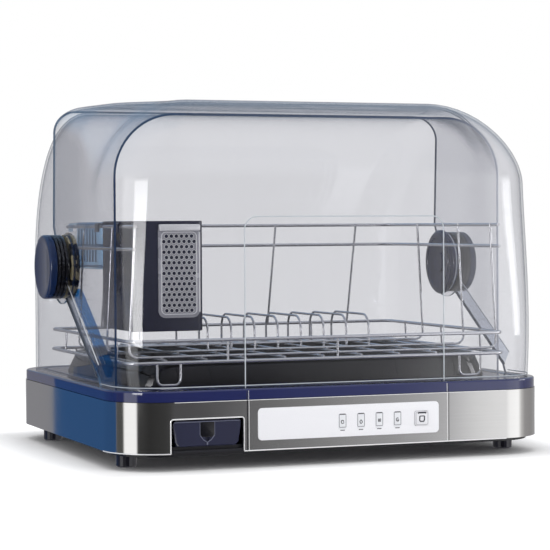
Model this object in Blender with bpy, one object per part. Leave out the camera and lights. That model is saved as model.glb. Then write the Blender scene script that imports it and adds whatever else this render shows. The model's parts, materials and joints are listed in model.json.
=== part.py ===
"""Countertop dish dryer with a clear swing-back cover.

Metres, +Z up. The origin is the bottom centre, on the surface that the feet stand on.
The front faces -Y. The clear front cover turns about the two side hubs, up and back
over the fixed rear cover.
"""

from math import atan2, cos, pi, radians, sin, sqrt

import bmesh
import bpy
from mathutils import Vector

# Fits and mesh steps
TOUCH = 0.0003
OVERRUN = 0.004
CORNER_STEPS = 6
SMALL_CORNER_STEPS = 3
TINY_CORNER_STEPS = 2
ROUND_STEPS = 20
SMALL_ROUND_STEPS = 12
SMOOTH_ANGLE = radians(32.0)
BLOCK_FACES = ((0, 2, 3, 1), (4, 5, 7, 6), (0, 1, 5, 4), (2, 6, 7, 3), (0, 4, 6, 2), (1, 3, 7, 5))

# Base body
BASE_WIDTH = 0.500
BASE_DEPTH = 0.430
BASE_CORNER = 0.059
PAN_BOTTOM = 0.0145
PAN_FLOOR = 0.0027
PAN_INSET = 0.010
PAN_WALL = 0.0025
PAN_WALL_INSET = 0.006
PAN_FLANGE = 0.0025
BAND_BOTTOM = 0.0185
BAND_TOP = 0.0713
SHEET = 0.0012
FOOT_X = BASE_WIDTH / 2 - 0.028
FOOT_Y = BASE_DEPTH / 2 - 0.069
FOOT_RADIUS = 0.0108
FOOT_CHAMFER = 0.0012
SCREW_X = BASE_WIDTH / 2 - 0.045
SCREW_Y = BASE_DEPTH / 2 - 0.115
SCREW_RADIUS = 0.004
SCREW_HEAD = 0.0018

# Rim and deck
RIM_TOP = 0.083
RIM_INSET = 0.0008
RIM_CHAMFER = 0.0020
RIM_LAND = 0.012
DECK_THICKNESS = 0.003
GUTTER_INSET = 0.0200
GUTTER_WIDTH = 0.0060
GUTTER_DEPTH = 0.0012

# Fascia and control panel
FASCIA_LEFT = -0.1105
FASCIA_RIGHT = 0.1194
SEAM = 0.0006
PANEL_LEFT = -0.0998
PANEL_RIGHT = 0.1090
PANEL_BOTTOM = 0.0285
PANEL_TOP = 0.0623
PANEL_CORNER = 0.0045
PANEL_PROUD = 0.0008
PANEL_FLANGE = 0.0030
PANEL_FLANGE_THICKNESS = 0.0020
WINDOW_FIRST_X = -0.0042
WINDOW_PITCH = 0.0213
WINDOW_Z = 0.0448
WINDOW_WIDTH = 0.0090
WINDOW_HEIGHT = 0.0165
WINDOW_CORNER = 0.0012
WINDOW_COUNT = 4
WINDOW_PROUD = 0.0003
BUTTON_X = 0.0882
BUTTON_Z = 0.0446
BUTTON_WIDTH = 0.0160
BUTTON_HEIGHT = 0.0155
BUTTON_CORNER = 0.0018
BUTTON_PROUD = 0.0013
BUTTON_FLANGE = 0.0014
BUTTON_FLANGE_THICKNESS = 0.0012
BUTTON_TRAVEL = 0.0012
BUTTON_STEM_RADIUS = 0.0022
BUTTON_STEM = 0.0030
BOARD_LEFT = -0.030
BOARD_RIGHT = 0.105
BOARD_BOTTOM = 0.0290
BOARD_TOP = 0.0600
BOARD_THICKNESS = 0.0016
BOARD_GAP = 0.0088
POST_RADIUS = 0.0025
POST_INSET = 0.0050
SWITCH_SIZE = 0.0060
SWITCH_GAP = 0.0003
LAMP_RADIUS = 0.0018
LAMP_HEIGHT = 0.0030

# Water drawer
DRAWER_NOTCH_RIGHT = FASCIA_LEFT - 0.0045
DRAWER_NOTCH_LEFT = DRAWER_NOTCH_RIGHT - 0.0804
DRAWER_NOTCH_TOP = 0.0540
DRAWER_TOP = 0.0523
DRAWER_BOTTOM = 0.0253
DRAWER_SIDE_GAP = 0.0022
DRAWER_TAPER = 0.0040
DRAWER_DEPTH = 0.105
DRAWER_WALL = 0.0020
DRAWER_FRONT = 0.0045
DRAWER_FRONT_RECESS = 0.0010
DRAWER_BODY_TOP = 0.0490
DRAWER_CORNER = 0.0050
GRIP_WIDTH = 0.0164
GRIP_TOP_GAP = 0.0020
GRIP_BOTTOM_GAP = 0.0018
GRIP_DEPTH = 0.0028
RUNNER_WIDTH = 0.0030
RUNNER_INSET = 0.010

# Blower and heater, inside the base
FAN_X = 0.105
FAN_Y = 0.020
FAN_RADIUS = 0.046
FAN_HEIGHT = 0.024
FAN_DISC = 0.0020
FAN_RING = 0.0040
FAN_BLADES = 14
FAN_BLADE_THICKNESS = 0.0012
FAN_BLADE_LENGTH = 0.011
FAN_SHAFT_RADIUS = 0.0030
FAN_RUNNING_GAP = 0.0050
SCROLL_GROWTH = 0.018
SCROLL_WALL = 0.0020
SCROLL_HEIGHT = 0.0340
SCROLL_INLET_RADIUS = 0.030
MOTOR_RADIUS = 0.0170
MOTOR_HEIGHT = 0.0180
DUCT_LEFT = -0.125
DUCT_RIGHT = 0.125
DUCT_BACK = BASE_DEPTH / 2 - 0.0185
DUCT_FRONT = DUCT_BACK - 0.0565
DUCT_WALL = 0.0020
HEATER_LEFT = -0.040
HEATER_RIGHT = 0.040
HEATER_FRONT = DUCT_FRONT + 0.0100
HEATER_BACK = DUCT_BACK - 0.0105
HEATER_HEIGHT = 0.030
HEATER_FIN = 0.0012
HEATER_FINS = 12
POWER_BOARD_X = -0.060
POWER_BOARD_Y = 0.030
POWER_BOARD_WIDTH = 0.080
POWER_BOARD_DEPTH = 0.060
CAPACITOR_RADIUS = 0.0080
CAPACITOR_HEIGHT = 0.020
BOSS_HEIGHT = 0.0060
INTAKE_SLOT_LENGTH = 0.050
INTAKE_SLOT_WIDTH = 0.0040
INTAKE_PITCH = 0.0085
INTAKE_SLOTS = 7
GRILLE_LEFT = -0.110
GRILLE_RIGHT = 0.110
GRILLE_BACK = DUCT_BACK - 0.0145
GRILLE_FRONT = GRILLE_BACK - 0.0240
GRILLE_CORNER = 0.004
GRILLE_FLANGE = 0.003
GRILLE_THICKNESS = 0.0018
GRILLE_SLOTS = 16
GRILLE_SLOT_SHARE = 0.55
CORD_X = 0.170
CORD_Z = 0.0400
CORD_BORE = 0.0036
CORD_NECK = 0.0060
CORD_FLANGE = 0.0088
CORD_FLANGE_THICKNESS = 0.0018

# Covers and their hubs
HUB_Y = 0.033
HUB_Z = 0.207
HUB_RADIUS = 0.036
COVER_WALL = 0.0025
COVER_SEAT = RIM_TOP + TOUCH
REAR_HALF_WIDTH = BASE_WIDTH / 2 - 0.0125
REAR_MOUTH_HALF_WIDTH = REAR_HALF_WIDTH - 0.0095
REAR_TAPER_END_Y = -0.020
REAR_RADIUS = BASE_DEPTH / 2 - HUB_Y - 0.0075
REAR_MOUTH_Z = HUB_Z + REAR_RADIUS - 0.0085
REAR_MOUTH_CORNER = 0.068
REAR_TOP_CORNER = 0.030
REAR_WALL_CORNER = 0.050
FRONT_HALF_WIDTH = REAR_HALF_WIDTH + 0.0045
FRONT_Y = 0.0080 - BASE_DEPTH / 2
REAR_MOUTH_Y = FRONT_Y + 0.0770
FRONT_EDGE_Y = 0.066
FRONT_EDGE_RADIUS = REAR_RADIUS + 0.0060
FRONT_ROOF_Z = HUB_Z + FRONT_EDGE_RADIUS + 0.0010
FRONT_ROOF_END_Y = FRONT_Y + 0.0950
FRONT_WALL_TOP_Z = FRONT_ROOF_Z - 0.0905
FRONT_EDGE_CORNER = 0.028
FRONT_ROOF_CORNER = 0.055
FRONT_BEND_CORNER = 0.075
FRONT_FOOT_CORNER = 0.051
SLANT_FOOT_Y = -0.118
SLANT_LOW_Y = -0.112
SLANT_LOW_Z = 0.092
SLANT_TOP_Y = 0.010
SLANT_TOP_Z = 0.172
EAR_END_ANGLE = radians(52.0)
EDGE_LEG_Z = 0.252
SLANT_BAND_WIDTH = 0.0170
SLANT_BAND_HEIGHT = 0.0008
RELIEF_TOP = 0.262
RELIEF_CORNER = 0.014
RELIEF_HEIGHT = 0.0007
BUSH_INNER_X = REAR_HALF_WIDTH - 0.0085
BUSH_FLANGE_RADIUS = 0.0385
BUSH_BORE = 0.0123
PIN_RADIUS = 0.0120
RING_WIDTH = 0.0127
RING_RIDGES = 36
RING_RIDGE_DEPTH = 0.0012
CAP_WIDTH = 0.0085
CAP_EDGE = 0.0028
CAP_DISH_RADIUS = 0.0270
CAP_DISH_DEPTH = 0.0022
COVER_ARC_STEPS = 5
PATH_STEPS = 8
WALL_STEPS = 3
ROOF_STEPS = 5

# Drip tray
TRAY_HALF_X = BASE_WIDTH / 2 - 0.0500
TRAY_HALF_Y = BASE_DEPTH / 2 - 0.0695
TRAY_CORNER = 0.036
TRAY_TOP = 0.107
TRAY_SKIRT_X = 0.0120
TRAY_SKIRT_Y = 0.0055
TRAY_WALL = 0.0025
TRAY_LIP = 0.0040
TRAY_DRAFT = 0.0060
TRAY_FLOOR_Z = 0.0870
SPOUT_X = 0.0440 - TRAY_HALF_X
SPOUT_Y = 0.0205 - TRAY_HALF_Y
SPOUT_RADIUS = 0.0060
SPOUT_BORE = 0.0040
SPOUT_BOTTOM = 0.0620
DRAIN_GAP = 0.0020

# Dish rack wires
RAIL_RADIUS = 0.0019
WIRE_RADIUS = 0.0013
WELD_SINK = 0.0006
WELD = RAIL_RADIUS + WIRE_RADIUS - WELD_SINK
SEATED = RAIL_RADIUS + WIRE_RADIUS + TOUCH
WIRE_SIDES = 5
RAIL_SIDES = 6
GUARD_TOP_Z = 0.252
GUARD_LOW_Z = 0.228
LOOP_TOP_Z = 0.131
LOOP_LOW_Z = 0.108
LOOP_TOP_HALF = REAR_HALF_WIDTH - 0.0180
GUARD_TOP_HALF = LOOP_TOP_HALF - 0.0065
RACK_BACK_Y = BASE_DEPTH / 2 - 0.0600
RACK_FRONT_Y = -RACK_BACK_Y
GUARD_BACK_Y = RACK_BACK_Y - 0.0290
RACK_CORNER = 0.012
GUARD_CORNER = 0.022
HOOP_Y_SHARES = (-0.915, -0.390, 0.320)
HOOP_BEND = 0.009
SHORT_POST_SHARES = (-0.650, 0.0, 0.650)
BACK_POST_SHARES = (-0.510, 0.510)
GUARD_BACK_SHARES = (-0.750, -0.250, 0.250, 0.750)
FRONT_POST_SHARES = (-0.500, 0.080)
POST_OVERHANG = 0.0015
FOOT_LEG_X = LOOP_TOP_HALF - 0.0295
FOOT_LEG_SPAN = 0.026
FLOOR_WIRES = 9
FLOOR_WIRE_REACH = LOOP_TOP_HALF - 0.0395
CROSS_WIRE_Y = (-0.055, 0.055)
CROSS_WIRE_HALF = LOOP_TOP_HALF - 0.0135
DIVIDER_PITCH = 0.028
DIVIDER_COUNT = 8
DIVIDER_HEIGHT = 0.036
DIVIDER_CORNER = 0.016

# Cutlery holder and clear cup, hung on the left guard rail
HOLDER_OUTER_X = 0.0080 - GUARD_TOP_HALF
HOLDER_INNER_X = HOLDER_OUTER_X + 0.0800
HOLDER_FRONT_Y = -0.120
HOLDER_BACK_Y = -0.002
HOLDER_BOTTOM = 0.1395
HOLDER_TOP = 0.258
HOLDER_CORNER = 0.007
HOLDER_WALL = 0.002
PLATE_RIGHT = HOLDER_INNER_X - 0.0050
PLATE_LEFT = PLATE_RIGHT - 0.0470
PLATE_BOTTOM = 0.154
PLATE_TOP = 0.2545
PLATE_CORNER = 0.008
PLATE_THICKNESS = 0.0008
PLATE_LIP = 0.0050
PLATE_LIP_HEIGHT = 0.0070
PLATE_BORDER = 0.0045
HOLE_RADIUS = 0.0025
HOLE_COLUMNS = 5
HOLE_ROWS = 10
HOLE_SIDES = 6
CUP_INNER_X = HOLDER_OUTER_X + 0.0550
CUP_FRONT_Y = 0.004
CUP_BACK_Y = 0.103
CUP_BOTTOM = 0.204
CUP_TOP = 0.257
CUP_SLOTS = 7
CUP_SLOT_WIDTH = 0.005
CUP_SLOT_MARGIN = 0.010
HOOK_WIDTH = 0.012
HOOK_THICKNESS = 0.0020
HOOK_DROP = 0.0080
HOLDER_HOOK_Y = (-0.098, -0.024)
CUP_HOOK_Y = (0.022, 0.083)


def clear_scene():
    """Empty the scene before modelling."""
    for obj in list(bpy.data.objects):
        bpy.data.objects.remove(obj, do_unlink=True)


def material(name, color, roughness, metallic=0.0, alpha=1.0):
    """A Principled BSDF with the part's colour, roughness and metallic value."""
    mat = bpy.data.materials.new(name)
    mat.use_nodes = True
    shader = mat.node_tree.nodes["Principled BSDF"]
    shader.inputs["Base Color"].default_value = (*color, 1.0)
    shader.inputs["Roughness"].default_value = roughness
    shader.inputs["Metallic"].default_value = metallic
    shader.inputs["Alpha"].default_value = alpha
    return mat


def add_mesh(name, bm, mat):
    """Store a bmesh as a named object, with outward faces and smooth round sides."""
    bmesh.ops.recalc_face_normals(bm, faces=bm.faces)
    mesh = bpy.data.meshes.new(name)
    bm.to_mesh(mesh)
    bm.free()
    mesh.shade_smooth()
    mesh.set_sharp_from_angle(angle=SMOOTH_ANGLE)
    if mat is not None:
        mesh.materials.append(mat)
    obj = bpy.data.objects.new(name, mesh)
    bpy.context.scene.collection.objects.link(obj)
    return obj


def lofted(name, rings, mat=None, hollow=False):
    """Skin a list of equal rings: capped at both ends, or joined last to first."""
    bm = bmesh.new()
    count = len(rings[0])
    rows = [[bm.verts.new(point) for point in ring] for ring in rings]
    pairs = list(zip(rows, rows[1:]))
    if hollow:
        pairs.append((rows[-1], rows[0]))
    for low, high in pairs:
        for i in range(count):
            j = (i + 1) % count
            bm.faces.new((low[i], low[j], high[j], high[i]))
    if not hollow:
        bm.faces.new(rows[0])
        bm.faces.new(rows[-1])
    return add_mesh(name, bm, mat)


def rounded_rect(half_x, half_y, radius, steps=CORNER_STEPS):
    """Outline of a rounded rectangle about the origin, as (x, y) pairs."""
    points = []
    for quarter, (sign_x, sign_y) in enumerate(((1, 1), (-1, 1), (-1, -1), (1, -1))):
        for step in range(steps + 1):
            angle = (quarter + step / steps) * pi / 2
            x = sign_x * (half_x - radius) + radius * cos(angle)
            y = sign_y * (half_y - radius) + radius * sin(angle)
            points.append((x, y))
    return points


def circle(radius, steps=ROUND_STEPS):
    """Outline of a circle about the origin, as (x, y) pairs."""
    angles = [2 * pi * i / steps for i in range(steps)]
    return [(radius * cos(angle), radius * sin(angle)) for angle in angles]


def flat_ring(outline, z, centre=(0.0, 0.0)):
    """Lay an outline level at height z."""
    return [Vector((centre[0] + x, centre[1] + y, z)) for x, y in outline]


def front_ring(outline, y, centre=(0.0, 0.0)):
    """Stand an outline upright in the plane y, facing the front."""
    return [Vector((centre[0] + a, y, centre[1] + b)) for a, b in outline]


def side_ring(outline, x, centre=(0.0, 0.0)):
    """Stand an outline upright in the plane x, facing the side."""
    return [Vector((x, centre[0] + a, centre[1] + b)) for a, b in outline]


def box(name, low, high, mat=None):
    """A plain block between two corners."""
    xs, ys, zs = zip(low, high)
    base = [(xs[0], ys[0]), (xs[1], ys[0]), (xs[1], ys[1]), (xs[0], ys[1])]
    return lofted(name, [flat_ring(base, z) for z in zs], mat)


def base_ring(inset, z):
    """The base's plan outline, drawn in by inset."""
    outline = rounded_rect(BASE_WIDTH / 2 - inset, BASE_DEPTH / 2 - inset, BASE_CORNER - inset)
    return flat_ring(outline, z)


def hide_helper(obj):
    """Mark a cutter or a piece that is joined to another as not a part by itself."""
    obj.hide_render = True
    obj.display_type = "WIRE"


def combine(obj, helper, operation):
    """Add a live Boolean to obj."""
    hide_helper(helper)
    modifier = obj.modifiers.new(operation.title(), "BOOLEAN")
    modifier.operation = operation
    modifier.solver = "EXACT"
    modifier.object = helper
    return obj


def cut(obj, helper):
    """Remove helper's shape from obj."""
    return combine(obj, helper, "DIFFERENCE")


def join(obj, helper):
    """Add helper's shape to obj."""
    return combine(obj, helper, "UNION")


def block_row(name, blocks):
    """Separate blocks in one mesh, used as a single cutter or rib set."""
    bm = bmesh.new()
    for low, high in blocks:
        xs, ys, zs = zip(low, high)
        corners = [bm.verts.new((x, y, z)) for z in zs for y in ys for x in xs]
        for face in BLOCK_FACES:
            bm.faces.new([corners[i] for i in face])
    return add_mesh(name, bm, None)


def rod_row(name, rods, steps=ROUND_STEPS, mat=None):
    """Separate upright rods in one mesh: each is (x, y, radius, low z, high z)."""
    bm = bmesh.new()
    for x, y, radius, low, high in rods:
        ends = []
        for z in (low, high):
            ring = flat_ring(circle(radius, steps), z, (x, y))
            ends.append([bm.verts.new(point) for point in ring])
        for i in range(steps):
            j = (i + 1) % steps
            bm.faces.new((ends[0][i], ends[0][j], ends[1][j], ends[1][i]))
        bm.faces.new(ends[0])
        bm.faces.new(ends[1])
    return add_mesh(name, bm, mat)


def turned_x(name, side, profile, mat, outlines=None):
    """A piece turned about the hub axis: profile is (x, radius) pairs, the last joins the first."""
    rings = []
    for index, (x, radius) in enumerate(profile):
        outline = outlines[index] if outlines and outlines[index] else circle(radius)
        rings.append(side_ring(outline, side * x, (HUB_Y, HUB_Z)))
    return lofted(name, rings, mat, hollow=True)


def wires(name, paths, radius, mat=None, sides=WIRE_SIDES, closed=False):
    """Round wires swept along point lists, as separate tubes in one mesh."""
    bm = bmesh.new()
    for path in paths:
        points = [Vector(point) for point in path]
        last = len(points) - 1
        rows = []
        spoke = None
        for index, point in enumerate(points):
            before = points[index - 1] if closed or index else point
            after = points[(index + 1) % len(points)] if closed or index < last else point
            along = (after - before).normalized()
            if spoke is None:
                spoke = along.orthogonal()
            spoke = (spoke - along * spoke.dot(along)).normalized()
            side = along.cross(spoke)
            section = [a * spoke + b * side for a, b in circle(radius, sides)]
            rows.append([bm.verts.new(point + offset) for offset in section])
        pairs = list(zip(rows, rows[1:]))
        if closed:
            pairs.append((rows[-1], rows[0]))
        for low, high in pairs:
            for i in range(sides):
                j = (i + 1) % sides
                bm.faces.new((low[i], low[j], high[j], high[i]))
        if not closed:
            bm.faces.new(rows[0])
            bm.faces.new(rows[-1])
    return add_mesh(name, bm, mat)


def filleted(points, radius, steps=SMALL_CORNER_STEPS):
    """Round the inner corners of a polyline."""
    path = [Vector(points[0])]
    for before, corner, after in zip(points, points[1:], points[2:]):
        corner = Vector(corner)
        back = (Vector(before) - corner).normalized()
        ahead = (Vector(after) - corner).normalized()
        half = back.angle(ahead) / 2
        centre = corner + (back + ahead).normalized() * radius / sin(half)
        start = corner + back * radius * cos(half) / sin(half)
        end = corner + ahead * radius * cos(half) / sin(half)
        for step in range(steps + 1):
            spoke = (start - centre).slerp(end - centre, step / steps)
            path.append(centre + spoke.normalized() * radius)
    path.append(Vector(points[-1]))
    return path


def blend(a, b, share):
    """Smooth step from a to b."""
    share = min(max(share, 0.0), 1.0)
    return a + (b - a) * share * share * (3 - 2 * share)


def make_base_pan(mat):
    """The dark pan that carries the base's inner parts."""
    floor_top = PAN_BOTTOM + PAN_FLOOR
    flange_z = BAND_BOTTOM + TOUCH
    flange_inset = SHEET + TOUCH
    profile = (
        (PAN_INSET, PAN_BOTTOM),
        (PAN_INSET, flange_z),
        (flange_inset, flange_z),
        (flange_inset, flange_z + PAN_FLANGE),
        (PAN_WALL_INSET, flange_z + PAN_FLANGE),
        (PAN_WALL_INSET, BAND_TOP),
        (PAN_WALL_INSET + PAN_WALL, BAND_TOP),
        (PAN_WALL_INSET + PAN_WALL, flange_z + PAN_FLANGE),
        (PAN_INSET + PAN_FLOOR, floor_top),
    )
    pan = lofted("base_pan", [base_ring(inset, z) for inset, z in profile], mat)
    front = -BASE_DEPTH / 2
    wall_back = front + PAN_WALL_INSET + PAN_WALL + OVERRUN
    ribs = []
    for x in (drawer_left() + RUNNER_INSET, drawer_right() - RUNNER_INSET):
        low = (x - RUNNER_WIDTH / 2, front + PAN_INSET + OVERRUN, floor_top - PAN_FLOOR / 2)
        high = (x + RUNNER_WIDTH / 2, front + DRAWER_DEPTH, DRAWER_BOTTOM - TOUCH)
        ribs.append((low, high))
    join(pan, block_row("pan_runners", ribs))
    boss_low = floor_top - PAN_FLOOR / 2
    boss_high = floor_top + BOSS_HEIGHT
    bosses = [(x, y, POST_RADIUS, boss_low, boss_high) for x, y in board_corners()]
    join(pan, rod_row("pan_bosses", bosses, steps=SMALL_ROUND_STEPS))
    openings = [
        (
            (DRAWER_NOTCH_LEFT, front, DRAWER_BOTTOM - TOUCH),
            (DRAWER_NOTCH_RIGHT, wall_back, DRAWER_NOTCH_TOP),
        ),
        (
            (PANEL_LEFT - PANEL_FLANGE, front, PANEL_BOTTOM - PANEL_FLANGE),
            (PANEL_RIGHT + PANEL_FLANGE, wall_back, PANEL_TOP + PANEL_FLANGE),
        ),
    ]
    cut(pan, block_row("pan_openings", openings))
    cut(pan, block_row("pan_intake", intake_slots()))
    cut(pan, cord_bore("pan_cord_bore", CORD_NECK + TOUCH))
    return pan


def intake_slots():
    """Slots in the pan's floor below the blower."""
    slots = []
    for i in range(INTAKE_SLOTS):
        y = FAN_Y + (i - (INTAKE_SLOTS - 1) / 2) * INTAKE_PITCH
        low = (FAN_X - INTAKE_SLOT_LENGTH / 2, y - INTAKE_SLOT_WIDTH / 2, PAN_BOTTOM - OVERRUN)
        high = (FAN_X + INTAKE_SLOT_LENGTH / 2, y + INTAKE_SLOT_WIDTH / 2, PAN_BOTTOM + PAN_FLOOR + OVERRUN)
        slots.append((low, high))
    return slots


def board_corners():
    """Where the power board stands on its bosses."""
    reach_x = POWER_BOARD_WIDTH / 2 - POST_INSET
    reach_y = POWER_BOARD_DEPTH / 2 - POST_INSET
    signs = [(sx, sy) for sx in (-1, 1) for sy in (-1, 1)]
    return [(POWER_BOARD_X + sx * reach_x, POWER_BOARD_Y + sy * reach_y) for sx, sy in signs]


def cord_bore(name, radius):
    """A round cutter through the back wall where the cord comes out."""
    back = BASE_DEPTH / 2
    rings = [
        front_ring(circle(radius), y, (CORD_X, CORD_Z))
        for y in (back + OVERRUN, back - PAN_WALL_INSET - PAN_WALL - OVERRUN)
    ]
    return lofted(name, rings)


def make_steel_band(mat):
    """The stainless band round the base, open at the fascia and notched for the drawer."""
    profile = ((0.0, BAND_BOTTOM), (0.0, BAND_TOP), (SHEET, BAND_TOP), (SHEET, BAND_BOTTOM))
    band = lofted("steel_band", [base_ring(inset, z) for inset, z in profile], mat, hollow=True)
    front = -BASE_DEPTH / 2
    openings = [
        (
            (FASCIA_LEFT - SEAM, front - OVERRUN, BAND_BOTTOM - OVERRUN),
            (FASCIA_RIGHT + SEAM, front + OVERRUN, BAND_TOP + OVERRUN),
        ),
        (
            (DRAWER_NOTCH_LEFT, front - OVERRUN, BAND_BOTTOM - OVERRUN),
            (DRAWER_NOTCH_RIGHT, front + OVERRUN, DRAWER_NOTCH_TOP),
        ),
    ]
    cut(band, block_row("band_openings", openings))
    cut(band, cord_bore("band_cord_bore", CORD_NECK + TOUCH))
    return band


def panel_centre():
    """Middle of the control panel, as (x, z)."""
    return ((PANEL_LEFT + PANEL_RIGHT) / 2, (PANEL_BOTTOM + PANEL_TOP) / 2)


def panel_outline(grow):
    """The control panel's outline, grown or drawn in."""
    half_x = (PANEL_RIGHT - PANEL_LEFT) / 2 + grow
    half_z = (PANEL_TOP - PANEL_BOTTOM) / 2 + grow
    return rounded_rect(half_x, half_z, PANEL_CORNER + grow)


def make_fascia(mat):
    """The stainless plate in the middle of the front, with the panel's window."""
    front = -BASE_DEPTH / 2
    low = (FASCIA_LEFT, front, BAND_BOTTOM)
    high = (FASCIA_RIGHT, front + SHEET, BAND_TOP)
    plate = box("fascia_plate", low, high, mat)
    rings = [front_ring(panel_outline(0.0), y, panel_centre()) for y in (front - OVERRUN, front + OVERRUN)]
    return cut(plate, lofted("fascia_window", rings))


def window_x(index):
    """Centre of one mode window."""
    return WINDOW_FIRST_X + index * WINDOW_PITCH


def make_control_panel(mat):
    """The white panel with its flange, window holes, button hole and board posts."""
    front = -BASE_DEPTH / 2
    face = front - PANEL_PROUD
    flange_front = front + SHEET + TOUCH
    back = flange_front + PANEL_FLANGE_THICKNESS
    chamfer = PANEL_PROUD / 2
    layers = (
        (-TOUCH - chamfer, face),
        (-TOUCH, face + chamfer),
        (-TOUCH, flange_front),
        (PANEL_FLANGE - TOUCH, flange_front),
        (PANEL_FLANGE - TOUCH, back),
    )
    rings = [front_ring(panel_outline(grow), y, panel_centre()) for grow, y in layers]
    panel = lofted("control_panel", rings, mat)
    posts = []
    for x in (BOARD_LEFT + POST_INSET, BOARD_RIGHT - POST_INSET):
        for z in (BOARD_BOTTOM + POST_RADIUS, BOARD_TOP - POST_RADIUS):
            low = (x - POST_RADIUS, back - PANEL_FLANGE_THICKNESS / 2, z - POST_RADIUS)
            high = (x + POST_RADIUS, board_front() - TOUCH, z + POST_RADIUS)
            posts.append((low, high))
    join(panel, block_row("panel_posts", posts))
    for index in range(WINDOW_COUNT):
        place = (window_x(index), WINDOW_Z)
        hole = [front_ring(window_outline(0.0), y, place) for y in (face - OVERRUN, back + OVERRUN)]
        cut(panel, lofted(f"window_hole_{index + 1}", hole))
    place = (BUTTON_X, BUTTON_Z)
    hole = [front_ring(button_outline(0.0), y, place) for y in (face - OVERRUN, back + OVERRUN)]
    return cut(panel, lofted("button_hole", hole))


def window_outline(grow):
    """One mode window's outline, grown or drawn in."""
    half_x = WINDOW_WIDTH / 2 + grow
    half_z = WINDOW_HEIGHT / 2 + grow
    return rounded_rect(half_x, half_z, WINDOW_CORNER + grow, steps=TINY_CORNER_STEPS)


def button_outline(grow):
    """The power button's outline, grown or drawn in."""
    half_x = BUTTON_WIDTH / 2 + grow
    half_z = BUTTON_HEIGHT / 2 + grow
    return rounded_rect(half_x, half_z, BUTTON_CORNER + grow, steps=SMALL_CORNER_STEPS)


def panel_back():
    """Depth of the control panel's back face."""
    return -BASE_DEPTH / 2 + SHEET + TOUCH + PANEL_FLANGE_THICKNESS


def board_front():
    """Depth of the control board's front face."""
    return panel_back() + BOARD_GAP


def make_windows(mat):
    """The small lenses of the four modes."""
    face = -BASE_DEPTH / 2 - PANEL_PROUD - WINDOW_PROUD
    for index in range(WINDOW_COUNT):
        place = (window_x(index), WINDOW_Z)
        rings = [front_ring(window_outline(-TOUCH), y, place) for y in (face, panel_back())]
        lofted(f"mode_window_{index + 1}", rings, mat)


def make_button(mat):
    """The square power button: cap, keeper flange and stem."""
    face = -BASE_DEPTH / 2 - PANEL_PROUD - BUTTON_PROUD
    keeper = panel_back() + TOUCH
    chamfer = BUTTON_PROUD / 2
    layers = (
        (-chamfer, face),
        (0.0, face + chamfer),
        (0.0, keeper),
        (BUTTON_FLANGE, keeper),
        (BUTTON_FLANGE, keeper + BUTTON_FLANGE_THICKNESS),
    )
    rings = [front_ring(button_outline(grow - TOUCH), y, (BUTTON_X, BUTTON_Z)) for grow, y in layers]
    button = lofted("power_button", rings, mat)
    stem_start = keeper + BUTTON_FLANGE_THICKNESS / 2
    stem_end = keeper + BUTTON_FLANGE_THICKNESS + BUTTON_STEM
    section = circle(BUTTON_STEM_RADIUS, SMALL_ROUND_STEPS)
    stem = [front_ring(section, y, (BUTTON_X, BUTTON_Z)) for y in (stem_start, stem_end)]
    join(button, lofted("button_stem", stem))
    return stem_end


def make_control_board(mat, stem_end):
    """The control board with its switch and lamps."""
    front = board_front()
    board = box(
        "control_board",
        (BOARD_LEFT, front, BOARD_BOTTOM),
        (BOARD_RIGHT, front + BOARD_THICKNESS, BOARD_TOP),
        mat,
    )
    half = SWITCH_SIZE / 2
    switch_front = stem_end + BUTTON_TRAVEL + SWITCH_GAP
    low = (BUTTON_X - half, switch_front, BUTTON_Z - half)
    high = (BUTTON_X + half, front + TOUCH, BUTTON_Z + half)
    parts = [(low, high)]
    for index in range(WINDOW_COUNT):
        x = window_x(index)
        low = (x - LAMP_RADIUS, front - LAMP_HEIGHT, WINDOW_Z - LAMP_RADIUS)
        high = (x + LAMP_RADIUS, front + TOUCH, WINDOW_Z + LAMP_RADIUS)
        parts.append((low, high))
    return join(board, block_row("board_parts", parts))


def make_rim_deck(mat):
    """The navy rim and the deck inside it, with a shallow gutter inside the covers."""
    under = RIM_TOP - DECK_THICKNESS
    bottom = BAND_TOP + TOUCH
    profile = (
        (RIM_LAND, under),
        (RIM_LAND, bottom),
        (RIM_INSET, bottom),
        (RIM_INSET, RIM_TOP - RIM_CHAMFER),
        (RIM_INSET + RIM_CHAMFER / 3, RIM_TOP - RIM_CHAMFER / 3),
        (RIM_INSET + RIM_CHAMFER, RIM_TOP),
        (GUTTER_INSET, RIM_TOP),
        (GUTTER_INSET, RIM_TOP - GUTTER_DEPTH),
        (GUTTER_INSET + GUTTER_WIDTH, RIM_TOP - GUTTER_DEPTH),
        (GUTTER_INSET + GUTTER_WIDTH, RIM_TOP),
    )
    deck = lofted("rim_deck", [base_ring(inset, z) for inset, z in profile], mat)
    levels = (under - OVERRUN, RIM_TOP + OVERRUN)
    opening = [flat_ring(grille_outline(0.0), z, grille_centre()) for z in levels]
    cut(deck, lofted("deck_air_opening", opening))
    drain = [flat_ring(circle(SPOUT_RADIUS + DRAIN_GAP), z, (SPOUT_X, SPOUT_Y)) for z in levels]
    return cut(deck, lofted("deck_drain", drain))


def grille_outline(grow):
    """The air outlet's outline, grown or drawn in."""
    half_x = (GRILLE_RIGHT - GRILLE_LEFT) / 2 + grow
    half_y = (GRILLE_BACK - GRILLE_FRONT) / 2 + grow
    return rounded_rect(half_x, half_y, GRILLE_CORNER + grow, steps=SMALL_CORNER_STEPS)


def grille_centre():
    """Middle of the air outlet, as (x, y)."""
    return ((GRILLE_LEFT + GRILLE_RIGHT) / 2, (GRILLE_FRONT + GRILLE_BACK) / 2)


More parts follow.
